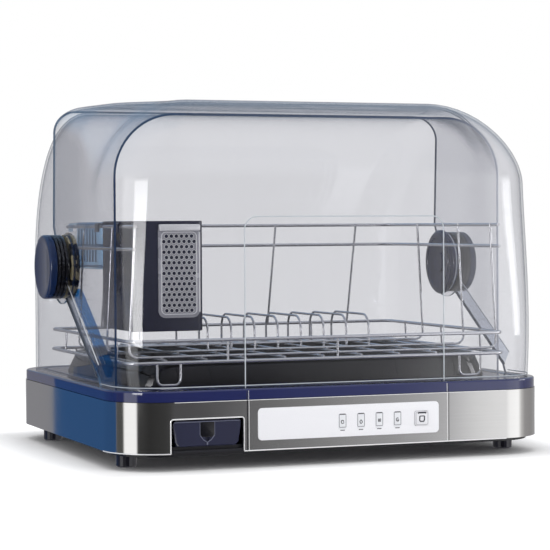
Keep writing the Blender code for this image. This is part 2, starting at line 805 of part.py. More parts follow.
def make_grille(mat):
    """The slotted outlet that drops into the deck."""
    seat = RIM_TOP + TOUCH
    layers = (
        (-TOUCH, RIM_TOP - DECK_THICKNESS),
        (-TOUCH, seat),
        (GRILLE_FLANGE, seat),
        (GRILLE_FLANGE, seat + GRILLE_THICKNESS),
    )
    rings = [flat_ring(grille_outline(grow), z, grille_centre()) for grow, z in layers]
    grille = lofted("outlet_grille", rings, mat)
    pitch = (GRILLE_RIGHT - GRILLE_LEFT) / GRILLE_SLOTS
    slots = []
    for i in range(GRILLE_SLOTS):
        middle = GRILLE_LEFT + (i + 1 / 2) * pitch
        reach = pitch * GRILLE_SLOT_SHARE / 2
        low = (middle - reach, GRILLE_FRONT + GRILLE_FLANGE, RIM_TOP - DECK_THICKNESS - OVERRUN)
        high = (middle + reach, GRILLE_BACK - GRILLE_FLANGE, seat + GRILLE_THICKNESS + OVERRUN)
        slots.append((low, high))
    return cut(grille, block_row("grille_slots", slots))


def make_grommet(mat):
    """The bare cord inlet at the back."""
    back = BASE_DEPTH / 2
    inner = back - PAN_WALL_INSET - PAN_WALL - OVERRUN
    profile = (
        (CORD_BORE, back + CORD_FLANGE_THICKNESS),
        (CORD_FLANGE, back + CORD_FLANGE_THICKNESS),
        (CORD_FLANGE, back + TOUCH),
        (CORD_NECK, back + TOUCH),
        (CORD_NECK, inner),
        (CORD_BORE, inner),
    )
    rings = [front_ring(circle(radius), y, (CORD_X, CORD_Z)) for radius, y in profile]
    return lofted("cord_grommet", rings, mat, hollow=True)


def make_feet(mat):
    """Four turned rubber feet."""
    top = PAN_BOTTOM - TOUCH
    profile = ((FOOT_RADIUS - FOOT_CHAMFER, 0.0), (FOOT_RADIUS, FOOT_CHAMFER), (FOOT_RADIUS, top))
    corners = [(x, y) for y in (-FOOT_Y, FOOT_Y) for x in (-FOOT_X, FOOT_X)]
    for index, place in enumerate(corners):
        rings = [flat_ring(circle(radius), z, place) for radius, z in profile]
        lofted(f"rubber_foot_{index + 1}", rings, mat)


def make_screws(mat):
    """Pan screws, seen as heads under the base."""
    top = PAN_BOTTOM - TOUCH
    places = [(x, y) for x in (-SCREW_X, SCREW_X) for y in (-SCREW_Y, SCREW_Y)]
    for index, (x, y) in enumerate(places):
        rod = (x, y, SCREW_RADIUS, top - SCREW_HEAD, top)
        rod_row(f"pan_screw_{index + 1}", [rod], steps=SMALL_ROUND_STEPS, mat=mat)


def drawer_left():
    """Left side of the drawer's front at its top."""
    return DRAWER_NOTCH_LEFT + DRAWER_SIDE_GAP


def drawer_right():
    """Right side of the drawer's front at its top."""
    return DRAWER_NOTCH_RIGHT - DRAWER_SIDE_GAP


def drawer_outline(grow):
    """The drawer front: a trapezium with round lower corners, as (x, z) about its centre."""
    centre_x = (drawer_left() + drawer_right()) / 2
    half_top = (drawer_right() - drawer_left()) / 2 + grow
    half_low = half_top - DRAWER_TAPER
    half_z = (DRAWER_TOP - DRAWER_BOTTOM) / 2 + grow
    points = []
    for x, z in rounded_rect(half_top, half_z, DRAWER_CORNER + grow, steps=SMALL_CORNER_STEPS):
        share = (half_z - z) / (2 * half_z)
        points.append((x * (half_top + (half_low - half_top) * share) / half_top, z))
    return points, (centre_x, (DRAWER_TOP + DRAWER_BOTTOM) / 2)


def make_drawer(mat):
    """The water drawer, with a finger groove in its front."""
    face = -BASE_DEPTH / 2 + DRAWER_FRONT_RECESS
    outline, centre = drawer_outline(0.0)
    small, _ = drawer_outline(-DRAWER_FRONT_RECESS)
    rings = [
        front_ring(small, face, centre),
        front_ring(outline, face + DRAWER_FRONT_RECESS, centre),
        front_ring(outline, face + DRAWER_FRONT, centre),
    ]
    drawer = lofted("water_drawer", rings, mat)
    half_x = (drawer_right() - drawer_left()) / 2 - DRAWER_TAPER
    body_front = face + DRAWER_FRONT - DRAWER_WALL
    body_back = face + DRAWER_DEPTH
    body_centre = (centre[0], (body_front + body_back) / 2)
    half_y = (body_back - body_front) / 2
    layers = (
        (0.0, DRAWER_BOTTOM),
        (0.0, DRAWER_BODY_TOP),
        (DRAWER_WALL, DRAWER_BODY_TOP),
        (DRAWER_WALL, DRAWER_BOTTOM + DRAWER_WALL),
    )
    body = []
    for inset, z in layers:
        ring = rounded_rect(half_x - inset, half_y - inset, DRAWER_CORNER - inset, steps=SMALL_CORNER_STEPS)
        body.append(flat_ring(ring, z, body_centre))
    join(drawer, lofted("drawer_body", body))
    top = DRAWER_TOP - GRIP_TOP_GAP
    low = DRAWER_BOTTOM + GRIP_BOTTOM_GAP
    groove = [(-GRIP_WIDTH / 2, top), (0.0, low), (GRIP_WIDTH / 2, top)]
    rings = [front_ring(groove, y, (centre[0], 0.0)) for y in (face - OVERRUN, face + GRIP_DEPTH)]
    return cut(drawer, lofted("drawer_grip", rings))


def scroll_outline(grow):
    """Log-like scroll round the impeller, ending in a straight mouth towards the back."""
    start = FAN_RADIUS + FAN_RUNNING_GAP + grow
    points = []
    for step in range(ROUND_STEPS + 1):
        share = step / ROUND_STEPS
        angle = -2 * pi * share * 3 / 4
        radius = start + SCROLL_GROWTH * share
        points.append((radius * cos(angle), radius * sin(angle)))
    reach = points[-1][1]
    mouth = DUCT_FRONT - TOUCH - FAN_Y
    points[-1] = (-grow, reach)
    points.append((-grow, mouth))
    points.append((start, mouth))
    return points


def make_fan_housing(mat):
    """The blower's scroll: open below at the inlet and at the mouth towards the duct."""
    low = PAN_BOTTOM + PAN_FLOOR + TOUCH
    top = low + SCROLL_HEIGHT
    middle = (FAN_X, FAN_Y)
    outer = scroll_outline(SCROLL_WALL)
    housing = lofted("fan_housing", [flat_ring(outer, z, middle) for z in (low, top)], mat)
    inner = scroll_outline(0.0)
    for index in (-2, -1):
        x, y = inner[index]
        inner[index] = (x, y + OVERRUN)
    cavity = [flat_ring(inner, z, middle) for z in (low + SCROLL_WALL, top - SCROLL_WALL)]
    cut(housing, lofted("scroll_cavity", cavity))
    inlet = [flat_ring(circle(SCROLL_INLET_RADIUS), z, middle) for z in (low - OVERRUN, low + OVERRUN)]
    cut(housing, lofted("scroll_inlet", inlet))
    bore = [
        flat_ring(circle(FAN_SHAFT_RADIUS + TOUCH, SMALL_ROUND_STEPS), z, middle)
        for z in (top - OVERRUN, top + OVERRUN)
    ]
    return cut(housing, lofted("scroll_shaft_bore", bore))


def make_fan(mat_rotor, mat_motor):
    """The bladed impeller, and the motor above the scroll."""
    low = PAN_BOTTOM + PAN_FLOOR + TOUCH + FAN_RUNNING_GAP
    high = low + FAN_HEIGHT
    top = PAN_BOTTOM + PAN_FLOOR + TOUCH + SCROLL_HEIGHT
    middle = (FAN_X, FAN_Y)
    shaft_top = top + MOTOR_HEIGHT / 2
    profile = (
        (FAN_RADIUS, high - FAN_DISC),
        (FAN_RADIUS, high),
        (FAN_SHAFT_RADIUS, high),
        (FAN_SHAFT_RADIUS, shaft_top),
    )
    rotor = lofted("fan_rotor", [flat_ring(circle(radius), z, middle) for radius, z in profile], mat_rotor)
    bm = bmesh.new()
    for i in range(FAN_BLADES):
        angle = 2 * pi * i / FAN_BLADES
        radial = Vector((cos(angle), sin(angle), 0.0))
        lean = Vector((-sin(angle), cos(angle), 0.0))
        outer = radial * (FAN_RADIUS - FAN_BLADE_THICKNESS) + Vector((FAN_X, FAN_Y, 0.0))
        inner = outer - radial * FAN_BLADE_LENGTH + lean * FAN_BLADE_LENGTH / 3
        side = lean * FAN_BLADE_THICKNESS
        base = [inner, outer, outer + side, inner + side]
        rows = []
        for z in (low, high - FAN_DISC / 2):
            rows.append([bm.verts.new(point + Vector((0.0, 0.0, z))) for point in base])
        for a in range(4):
            b = (a + 1) % 4
            bm.faces.new((rows[0][a], rows[0][b], rows[1][b], rows[1][a]))
        bm.faces.new(rows[0])
        bm.faces.new(rows[1])
    join(rotor, add_mesh("fan_blades", bm, None))
    ring = (
        (FAN_RADIUS, low),
        (FAN_RADIUS, low + FAN_DISC),
        (FAN_RADIUS - FAN_RING, low + FAN_DISC),
        (FAN_RADIUS - FAN_RING, low),
    )
    rings = [flat_ring(circle(radius), z, middle) for radius, z in ring]
    join(rotor, lofted("fan_ring", rings, hollow=True))
    bore = FAN_SHAFT_RADIUS + TOUCH
    seat = top + TOUCH
    motor_profile = (
        (bore, seat),
        (MOTOR_RADIUS, seat),
        (MOTOR_RADIUS, seat + MOTOR_HEIGHT),
        (bore, seat + MOTOR_HEIGHT),
    )
    rings = [flat_ring(circle(radius), z, middle) for radius, z in motor_profile]
    lofted("fan_motor", rings, mat_motor, hollow=True)
    return rotor


def make_duct(mat_duct, mat_heater):
    """The hot air duct below the outlet, and the finned heater in it."""
    low = PAN_BOTTOM + PAN_FLOOR + TOUCH
    high = RIM_TOP - DECK_THICKNESS - TOUCH
    duct = box("air_duct", (DUCT_LEFT, DUCT_FRONT, low), (DUCT_RIGHT, DUCT_BACK, high), mat_duct)
    inside = (
        (DUCT_LEFT + DUCT_WALL, DUCT_FRONT + DUCT_WALL, low + DUCT_WALL),
        (DUCT_RIGHT - DUCT_WALL, DUCT_BACK - DUCT_WALL, high + OVERRUN),
    )
    cut(duct, box("duct_inside", *inside))
    mouth_low = low + SCROLL_WALL
    mouth_high = low + SCROLL_HEIGHT - SCROLL_WALL
    mouth = (
        (FAN_X, DUCT_FRONT - OVERRUN, mouth_low),
        (min(FAN_X + FAN_RADIUS, DUCT_RIGHT - DUCT_WALL), DUCT_FRONT + OVERRUN, mouth_high),
    )
    cut(duct, box("duct_mouth", *mouth))
    seat = low + DUCT_WALL + TOUCH
    heater = box(
        "heater_core",
        (HEATER_LEFT, HEATER_FRONT, seat),
        (HEATER_RIGHT, HEATER_BACK, seat + HEATER_HEIGHT),
        mat_heater,
    )
    pitch = (HEATER_RIGHT - HEATER_LEFT) / HEATER_FINS
    gaps = []
    for i in range(HEATER_FINS):
        left = HEATER_LEFT + i * pitch + HEATER_FIN / 2
        low_corner = (left, HEATER_FRONT - OVERRUN, seat + HEATER_FIN * 3)
        right = left + pitch - HEATER_FIN
        high_corner = (right, HEATER_BACK + OVERRUN, seat + HEATER_HEIGHT - HEATER_FIN * 3)
        gaps.append((low_corner, high_corner))
    cut(heater, block_row("heater_gaps", gaps))
    return duct


def make_power_board(mat):
    """The power board on the pan's bosses, with its capacitors."""
    low = PAN_BOTTOM + PAN_FLOOR + BOSS_HEIGHT + TOUCH
    half_x = POWER_BOARD_WIDTH / 2
    half_y = POWER_BOARD_DEPTH / 2
    board = box(
        "power_board",
        (POWER_BOARD_X - half_x, POWER_BOARD_Y - half_y, low),
        (POWER_BOARD_X + half_x, POWER_BOARD_Y + half_y, low + BOARD_THICKNESS),
        mat,
    )
    middle = low + BOARD_THICKNESS / 2
    rods = [
        (POWER_BOARD_X + sx * half_x / 2, POWER_BOARD_Y, CAPACITOR_RADIUS, middle, middle + CAPACITOR_HEIGHT)
        for sx in (-1, 1)
    ]
    return join(board, rod_row("capacitors", rods, steps=SMALL_ROUND_STEPS))


def path_normals(path):
    """Outward normals of a (y, z) path, chosen to point away from the hub."""
    hub = Vector((HUB_Y, HUB_Z))
    normals = []
    for index, point in enumerate(path):
        before = path[max(index - 1, 0)]
        after = path[min(index + 1, len(path) - 1)]
        along = (after - before).normalized()
        normal = Vector((-along.y, along.x))
        if normal.dot(point - hub) < 0:
            normal = -normal
        normals.append(normal)
    return normals


def cover_shell(name, path, widths, corners, edge, strips, mat):
    """A clear cover of even wall: a band along path with round shoulders, and two side walls.

    widths and corners give each path point's half width and shoulder radius. edge lists the
    side walls' free (y, z) points from the path's end back to its start. The first strips
    path points run straight down to the seat, where the side wall tapers.
    """
    normals = path_normals(path)
    last = len(path) - 1
    points = []
    shoulder = {}
    rows = []
    for offset in (0.0, COVER_WALL):
        for index, (point, normal) in enumerate(zip(path, normals)):
            width = widths[index] - offset
            radius = corners[index] - offset
            centre = point - normal * corners[index]
            row = []
            for side in (-1, 1):
                angles = [pi / 2 * step / COVER_ARC_STEPS for step in range(COVER_ARC_STEPS + 1)]
                if side < 0:
                    angles.reverse()
                for angle in angles:
                    x = side * (width - radius + radius * sin(angle))
                    place = centre + normal * radius * cos(angle)
                    row.append(len(points))
                    points.append(Vector((x, place.x, place.y)))
            rows.append(row)
            shoulder[offset, index] = (row[0], row[-1])
        for side in (-1, 1):
            for index in range(strips):
                centre = path[index] - normals[index] * corners[index]
                shoulder[offset, "foot", side, index] = len(points)
                points.append(Vector((side * (widths[index] - offset), centre.x, COVER_SEAT)))
            for index, (y, z) in enumerate(edge):
                shoulder[offset, "edge", side, index] = len(points)
                points.append(Vector((side * (widths[last] - offset), y, z)))
    count = len(points) // 2
    skin = []
    for low, high in zip(rows[:last], rows[1 : last + 1]):
        for a in range(len(low) - 1):
            skin.append([low[a], low[a + 1], high[a + 1], high[a]])
    for end, side in ((0, -1), (1, 1)):
        first = max(strips - 1, 0)
        outline = [shoulder[0.0, index][end] for index in range(first, last + 1)]
        outline += [shoulder[0.0, "edge", side, index] for index in range(len(edge))]
        if strips:
            outline.append(shoulder[0.0, "foot", side, first])
        skin.append(outline)
        for index in range(first):
            skin.append(
                [
                    shoulder[0.0, index][end],
                    shoulder[0.0, index + 1][end],
                    shoulder[0.0, "foot", side, index + 1],
                    shoulder[0.0, "foot", side, index],
                ]
            )
    return thickened(name, points, skin, count, mat)


def thickened(name, points, skin, count, mat):
    """Join an outer skin to its matching inner skin along their free edges."""
    uses = {}
    for face in skin:
        for a, b in zip(face, face[1:] + face[:1]):
            key = (min(a, b), max(a, b))
            uses[key] = uses.get(key, 0) + 1
    bm = bmesh.new()
    verts = [bm.verts.new(point) for point in points]
    for face in skin:
        bm.faces.new([verts[i] for i in face])
        bm.faces.new([verts[i + count] for i in reversed(face)])
    for (a, b), times in uses.items():
        if times == 1:
            bm.faces.new((verts[a], verts[b], verts[b + count], verts[a + count]))
    return add_mesh(name, bm, mat)


def hub_cutter(name, radius):
    """A round cutter through both side walls on the hub axis."""
    reach = FRONT_HALF_WIDTH + OVERRUN
    rings = [side_ring(circle(radius), x, (HUB_Y, HUB_Z)) for x in (-reach, reach)]
    return lofted(name, rings)


def make_rear_cover(mat):
    """The fixed clear cover: roof, side walls and rear wall in one moulding, open in front."""
    hub = Vector((HUB_Y, HUB_Z))
    mouth = Vector((REAR_MOUTH_Y, REAR_MOUTH_Z))
    crown = hub + Vector((0.0, REAR_RADIUS))
    path = [mouth.lerp(crown, i / ROOF_STEPS) for i in range(ROOF_STEPS)]
    widths = []
    corners = []
    for index, point in enumerate(path):
        share = (point.x - REAR_MOUTH_Y) / (REAR_TAPER_END_Y - REAR_MOUTH_Y)
        widths.append(blend(REAR_MOUTH_HALF_WIDTH, REAR_HALF_WIDTH, share))
        corners.append(blend(REAR_MOUTH_CORNER, REAR_TOP_CORNER, index / ROOF_STEPS))
    strips = ROOF_STEPS + 1
    for step in range(PATH_STEPS + 1):
        angle = pi / 2 * (1 - step / PATH_STEPS)
        path.append(hub + REAR_RADIUS * Vector((cos(angle), sin(angle))))
        widths.append(REAR_HALF_WIDTH)
        corners.append(blend(REAR_TOP_CORNER, REAR_WALL_CORNER, step / PATH_STEPS))
    for step in range(1, WALL_STEPS + 1):
        path.append(Vector((HUB_Y + REAR_RADIUS, HUB_Z + (COVER_SEAT - HUB_Z) * step / WALL_STEPS)))
        widths.append(REAR_HALF_WIDTH)
        corners.append(REAR_WALL_CORNER)
    cover = cover_shell("rear_cover", path, widths, corners, [], strips, mat)
    return cut(cover, hub_cutter("rear_cover_bore", HUB_RADIUS + TOUCH))


def front_side_edge():
    """Free edge of the front cover's side wall, from its foot round the hub to the rear edge."""
    edge = [(SLANT_FOOT_Y, COVER_SEAT), (SLANT_LOW_Y, SLANT_LOW_Z)]
    start = atan2(SLANT_TOP_Z - HUB_Z, SLANT_TOP_Y - HUB_Y)
    radius = sqrt((SLANT_TOP_Z - HUB_Z) ** 2 + (SLANT_TOP_Y - HUB_Y) ** 2)
    for step in range(PATH_STEPS + 1):
        angle = start + (EAR_END_ANGLE - start) * step / PATH_STEPS
        edge.append((HUB_Y + radius * cos(angle), HUB_Z + radius * sin(angle)))
    edge.append((FRONT_EDGE_Y, EDGE_LEG_Z))
    return edge


def make_front_cover(mat):
    """The clear front cover that turns about the hubs."""
    path = []
    corners = []
    for y in (FRONT_EDGE_Y, (FRONT_EDGE_Y + HUB_Y) / 2, HUB_Y):
        path.append(Vector((y, HUB_Z + sqrt(FRONT_EDGE_RADIUS**2 - (y - HUB_Y) ** 2))))
        share = (FRONT_EDGE_Y - y) / (FRONT_EDGE_Y - FRONT_ROOF_END_Y)
        corners.append(blend(FRONT_EDGE_CORNER, FRONT_ROOF_CORNER, share))
    crown = path[-1].copy()
    for step in range(1, ROOF_STEPS):
        place = crown.lerp(Vector((FRONT_ROOF_END_Y, FRONT_ROOF_Z)), step / ROOF_STEPS)
        path.append(place)
        share = (FRONT_EDGE_Y - place.x) / (FRONT_EDGE_Y - FRONT_ROOF_END_Y)
        corners.append(blend(FRONT_EDGE_CORNER, FRONT_ROOF_CORNER, share))
    for step in range(PATH_STEPS + 1):
        angle = pi / 2 * step / PATH_STEPS
        y = FRONT_ROOF_END_Y + (FRONT_Y - FRONT_ROOF_END_Y) * sin(angle)
        z = FRONT_WALL_TOP_Z + (FRONT_ROOF_Z - FRONT_WALL_TOP_Z) * cos(angle)
        path.append(Vector((y, z)))
        corners.append(blend(FRONT_ROOF_CORNER, FRONT_BEND_CORNER, 2 * step / PATH_STEPS))
    for step in range(1, WALL_STEPS + 1):
        share = step / WALL_STEPS
        path.append(Vector((FRONT_Y, FRONT_WALL_TOP_Z + (COVER_SEAT - FRONT_WALL_TOP_Z) * share)))
        corners.append(blend(FRONT_BEND_CORNER, FRONT_FOOT_CORNER, share))
    widths = [FRONT_HALF_WIDTH] * len(path)
    cover = cover_shell("front_cover", path, widths, corners, front_side_edge(), 0, mat)
    join(cover, front_relief())
    for side in (-1, 1):
        join(cover, slant_band(side))
    return cut(cover, hub_cutter("front_cover_bore", BUSH_BORE))


def slant_band(side):
    """The raised band along the slanted free edge of one side wall."""
    low = Vector((SLANT_LOW_Y, SLANT_LOW_Z))
    top = Vector((SLANT_TOP_Y, SLANT_TOP_Z))
    along = (top - low).normalized()
    inward = Vector((-along.y, along.x)) * SLANT_BAND_WIDTH
    outline = [low, top, top + inward, low + inward]
    levels = (FRONT_HALF_WIDTH - COVER_WALL / 2, FRONT_HALF_WIDTH + SLANT_BAND_HEIGHT)
    return lofted("slant_band", [side_ring(outline, side * x) for x in levels])


def front_relief():
    """The shallow raised field on the front wall, above the fascia."""
    half_x = (FASCIA_RIGHT - FASCIA_LEFT) / 2
    middle_x = (FASCIA_RIGHT + FASCIA_LEFT) / 2
    height = RELIEF_TOP - COVER_SEAT
    outline = [(-half_x, 0.0), (half_x, 0.0)]
    for start, sign in ((0.0, 1), (pi / 2, -1)):
        for step in range(CORNER_STEPS + 1):
            angle = start + pi / 2 * step / CORNER_STEPS
            x = sign * (half_x - RELIEF_CORNER) + RELIEF_CORNER * cos(angle)
            outline.append((x, height - RELIEF_CORNER + RELIEF_CORNER * sin(angle)))
    depths = (FRONT_Y - RELIEF_HEIGHT, FRONT_Y + COVER_WALL / 2)
    rings = [front_ring(outline, y, (middle_x, COVER_SEAT)) for y in depths]
    return lofted("front_relief", rings)


def make_hubs(mat_bush, mat_ring, mat_cap, mat_pin):
    """On each side: fixed bush, turning ridged ring, cap and pivot pin."""
    wall_inner = REAR_HALF_WIDTH - COVER_WALL - TOUCH
    bush_end = FRONT_HALF_WIDTH - COVER_WALL - TOUCH
    ring_start = FRONT_HALF_WIDTH + TOUCH
    ring_end = ring_start + RING_WIDTH
    cap_start = ring_end + TOUCH
    cap_end = cap_start + CAP_WIDTH
    ridged = []
    for i in range(RING_RIDGES * 2):
        radius = HUB_RADIUS - RING_RIDGE_DEPTH * (i % 2)
        angle = pi * i / RING_RIDGES
        ridged.append((radius * cos(angle), radius * sin(angle)))
    bore = circle(BUSH_BORE, RING_RIDGES * 2)
    for side, word in ((-1, "left"), (1, "right")):
        bush = (
            (BUSH_INNER_X, BUSH_BORE),
            (BUSH_INNER_X, BUSH_FLANGE_RADIUS),
            (wall_inner, BUSH_FLANGE_RADIUS),
            (wall_inner, HUB_RADIUS),
            (bush_end, HUB_RADIUS),
            (bush_end, BUSH_BORE),
        )
        turned_x(f"pivot_bush_{word}", side, bush, mat_bush)
        ring = ((ring_start, 0.0), (ring_start, 0.0), (ring_end, 0.0), (ring_end, 0.0))
        turned_x(f"ridged_ring_{word}", side, ring, mat_ring, [bore, ridged, ridged, bore])
        pin = [side_ring(circle(PIN_RADIUS), side * x, (HUB_Y, HUB_Z)) for x in (BUSH_INNER_X, ring_end)]
        lofted(f"pivot_pin_{word}", pin, mat_pin)
        cap_layers = (
            (cap_start, HUB_RADIUS),
            (cap_end - CAP_EDGE, HUB_RADIUS),
            (cap_end - CAP_EDGE / 3, HUB_RADIUS - CAP_EDGE / 3),
            (cap_end, HUB_RADIUS - CAP_EDGE),
            (cap_end, CAP_DISH_RADIUS),
            (cap_end - CAP_DISH_DEPTH, CAP_DISH_RADIUS - CAP_DISH_DEPTH),
        )
        cap = []
        for x, radius in cap_layers:
            cap.append(side_ring(circle(radius, RING_RIDGES), side * x, (HUB_Y, HUB_Z)))
        lofted(f"hub_cap_{word}", cap, mat_cap)


def make_tray(mat):
    """The drip tray: a sloped outer skirt, a dished floor and a drain spout."""
    seat = RIM_TOP + TOUCH
    floor_under = TRAY_FLOOR_Z - TRAY_WALL
    layers = (
        (TRAY_WALL - TRAY_LIP - TRAY_DRAFT, TRAY_WALL - TRAY_LIP - TRAY_DRAFT, floor_under),
        (-TRAY_WALL, -TRAY_WALL, TRAY_TOP - TRAY_WALL),
        (TRAY_SKIRT_X - TRAY_WALL, TRAY_SKIRT_Y - TRAY_WALL, seat),
        (TRAY_SKIRT_X, TRAY_SKIRT_Y, seat),
        (0.0, 0.0, TRAY_TOP),
        (-TRAY_LIP, -TRAY_LIP, TRAY_TOP),
        (-TRAY_LIP - TRAY_DRAFT, -TRAY_LIP - TRAY_DRAFT, TRAY_FLOOR_Z),
    )
    rings = []
    for grow_x, grow_y, z in layers:
        outline = rounded_rect(TRAY_HALF_X + grow_x, TRAY_HALF_Y + grow_y, TRAY_CORNER + grow_y)
        rings.append(flat_ring(outline, z))
    tray = lofted("drip_tray", rings, mat)
    spout = (SPOUT_X, SPOUT_Y, SPOUT_RADIUS, SPOUT_BOTTOM, floor_under + TRAY_WALL / 2)
    join(tray, rod_row("tray_spout", [spout], steps=SMALL_ROUND_STEPS))
    bore = (SPOUT_X, SPOUT_Y, SPOUT_BORE, SPOUT_BOTTOM - OVERRUN, TRAY_FLOOR_Z + OVERRUN)
    return cut(tray, rod_row("tray_spout_bore", [bore], steps=SMALL_ROUND_STEPS))


def post_x(z):
    """Sideways place of the guard's side posts, which lean out towards the basket."""
    top = GUARD_TOP_HALF - SEATED
    low = LOOP_TOP_HALF - SEATED
    return top + (low - top) * (GUARD_TOP_Z - z) / (GUARD_TOP_Z - LOOP_TOP_Z)


def post_back_y(z):
    """Depth of the guard's back posts, which lean back towards the basket."""
    top = GUARD_BACK_Y - SEATED
    low = RACK_BACK_Y - SEATED
    return top + (low - top) * (GUARD_TOP_Z - z) / (GUARD_TOP_Z - LOOP_TOP_Z)


def make_basket(mat):
    """The rack's basket: two closed loops joined by short posts, floor wires and feet."""
    middle_y = (RACK_FRONT_Y + RACK_BACK_Y) / 2
    half_y = (RACK_BACK_Y - RACK_FRONT_Y) / 2
    loops = []
    for z in (LOOP_TOP_Z, LOOP_LOW_Z):
        outline = rounded_rect(post_x(z) + SEATED, half_y, RACK_CORNER, steps=SMALL_CORNER_STEPS)
        loops.append(flat_ring(outline, z, (0.0, middle_y)))
    basket = wires("rack_basket", loops, RAIL_RADIUS, mat, sides=RAIL_SIDES, closed=True)
    low = LOOP_LOW_Z - POST_OVERHANG
    high = LOOP_TOP_Z + POST_OVERHANG
    posts = []
    for shares, y in ((FRONT_POST_SHARES, RACK_FRONT_Y + WELD), (BACK_POST_SHARES, RACK_BACK_Y - WELD)):
        posts += [[(share * LOOP_TOP_HALF, y, z) for z in (low, high)] for share in shares]
    for share in SHORT_POST_SHARES:
        for side in (-1, 1):
            y = share * RACK_BACK_Y
            posts.append([(side * (post_x(z) + SEATED - WELD), y, z) for z in (low, high)])
    join(basket, wires("basket_posts", posts, WIRE_RADIUS))
    floor_z = LOOP_LOW_Z + WELD
    half_count = (FLOOR_WIRES - 1) / 2
    floor_x = [FLOOR_WIRE_REACH * (i - half_count) / half_count for i in range(FLOOR_WIRES)]
    floor = [[(x, RACK_FRONT_Y, floor_z), (x, RACK_BACK_Y, floor_z)] for x in floor_x]
    join(basket, wires("basket_floor", floor, WIRE_RADIUS))
    foot_top = LOOP_LOW_Z
    foot_low = RIM_TOP + TOUCH + WIRE_RADIUS
    feet = []
    for y in (RACK_FRONT_Y, RACK_BACK_Y):
        for side in (-1, 1):
            near = side * (FOOT_LEG_X - FOOT_LEG_SPAN)
            far = side * FOOT_LEG_X
            corners = [(near, y, foot_top), (near, y, foot_low), (far, y, foot_low), (far, y, foot_top)]
            feet.append(filleted(corners, FOOT_LEG_SPAN / 4, steps=TINY_CORNER_STEPS))
    return join(basket, wires("basket_feet", feet, WIRE_RADIUS))


def make_dividers(mat):
    """The plate dividers: a row of hoops on cross wires that lie on the basket's floor."""
    cross_z = cross_wire_z()
    cross = [[(-CROSS_WIRE_HALF, y, cross_z), (CROSS_WIRE_HALF, y, cross_z)] for y in CROSS_WIRE_Y]
    dividers = wires("plate_dividers", cross, WIRE_RADIUS, mat)
    hoops = []
    front, back = CROSS_WIRE_Y
    top = cross_z + DIVIDER_HEIGHT
    for i in range(DIVIDER_COUNT):
        x = (i - (DIVIDER_COUNT - 1) / 2) * DIVIDER_PITCH
        corners = [(x, front, cross_z), (x, front, top), (x, back, top), (x, back, cross_z)]
        hoops.append(filleted(corners, DIVIDER_CORNER))
    return join(dividers, wires("divider_hoops", hoops, WIRE_RADIUS))


def cross_wire_z():
    """Height of the wires that lie across the basket's floor."""
    return LOOP_LOW_Z + WELD + 2 * WIRE_RADIUS + TOUCH


def make_guard(mat):
    """The rack's guard: two rails open at the front, held by side hoops and back posts.

    Each side hoop is one wire bent down one side, across the basket's floor and up the
    other side. Rails, hoops and posts stand a touch apart where the real ones are welded.
    """
    for word, z in (("upper", GUARD_TOP_Z), ("lower", GUARD_LOW_Z)):
        x = post_x(z) + SEATED
        back = post_back_y(z) + SEATED
        corners = [(-x, RACK_FRONT_Y, z), (-x, back, z), (x, back, z), (x, RACK_FRONT_Y, z)]
        path = filleted(corners, GUARD_CORNER)
        wires(f"guard_rail_{word}", [path], RAIL_RADIUS, mat, sides=RAIL_SIDES)
    top = GUARD_TOP_Z + POST_OVERHANG
    low = cross_wire_z()
    for index, share in enumerate(HOOP_Y_SHARES):
        y = share * RACK_BACK_Y
        wide = post_x(top)
        narrow = post_x(low)
        corners = [(-wide, y, top), (-narrow, y, low), (narrow, y, low), (wide, y, top)]
        wires(f"side_hoop_{index + 1}", [filleted(corners, HOOP_BEND)], WIRE_RADIUS, mat)
    back_low = LOOP_TOP_Z - POST_OVERHANG
    for index, share in enumerate(GUARD_BACK_SHARES):
        path = [(share * GUARD_TOP_HALF, post_back_y(z), z) for z in (top, back_low)]
        wires(f"back_post_{index + 1}", [path], WIRE_RADIUS, mat)


def hung_box(name, low, high, mat):
    """An open-topped moulded box with round upright corners."""
    half_x = (high[0] - low[0]) / 2
    half_y = (high[1] - low[1]) / 2
    centre = ((high[0] + low[0]) / 2, (high[1] + low[1]) / 2)
    layers = (
        (0.0, low[2]),
        (0.0, high[2]),
        (HOLDER_WALL, high[2]),
        (HOLDER_WALL, low[2] + HOLDER_WALL),
    )
    rings = []
    for inset, z in layers:
        sizes = (half_x - inset, half_y - inset, HOLDER_CORNER - inset)
        outline = rounded_rect(*sizes, steps=SMALL_CORNER_STEPS)
        rings.append(flat_ring(outline, z, centre))
    return lofted(name, rings, mat)


def hooks(name, places, top):
    """Hooks from the box's outer wall over the upper guard rail, which they clear by a touch."""
    rail_x = -(post_x(GUARD_TOP_Z) + SEATED)
    over = GUARD_TOP_Z + RAIL_RADIUS + TOUCH
    outer = rail_x - RAIL_RADIUS - TOUCH
    blocks = []
    for y in places:
        near = (outer - HOOK_THICKNESS, y - HOOK_WIDTH / 2, over)
        far = (HOLDER_OUTER_X + HOLDER_WALL / 2, y + HOOK_WIDTH / 2, min(over + HOOK_THICKNESS, top))
        blocks.append((near, far))
    drops = []
    for y in places:
        near = (outer - HOOK_THICKNESS, y - HOOK_WIDTH / 2, over - HOOK_DROP)
        far = (outer, y + HOOK_WIDTH / 2, over + HOOK_THICKNESS / 2)
        drops.append((near, far))
    hook = block_row(name, blocks)
    return hook, block_row(f"{name}_drops", drops)


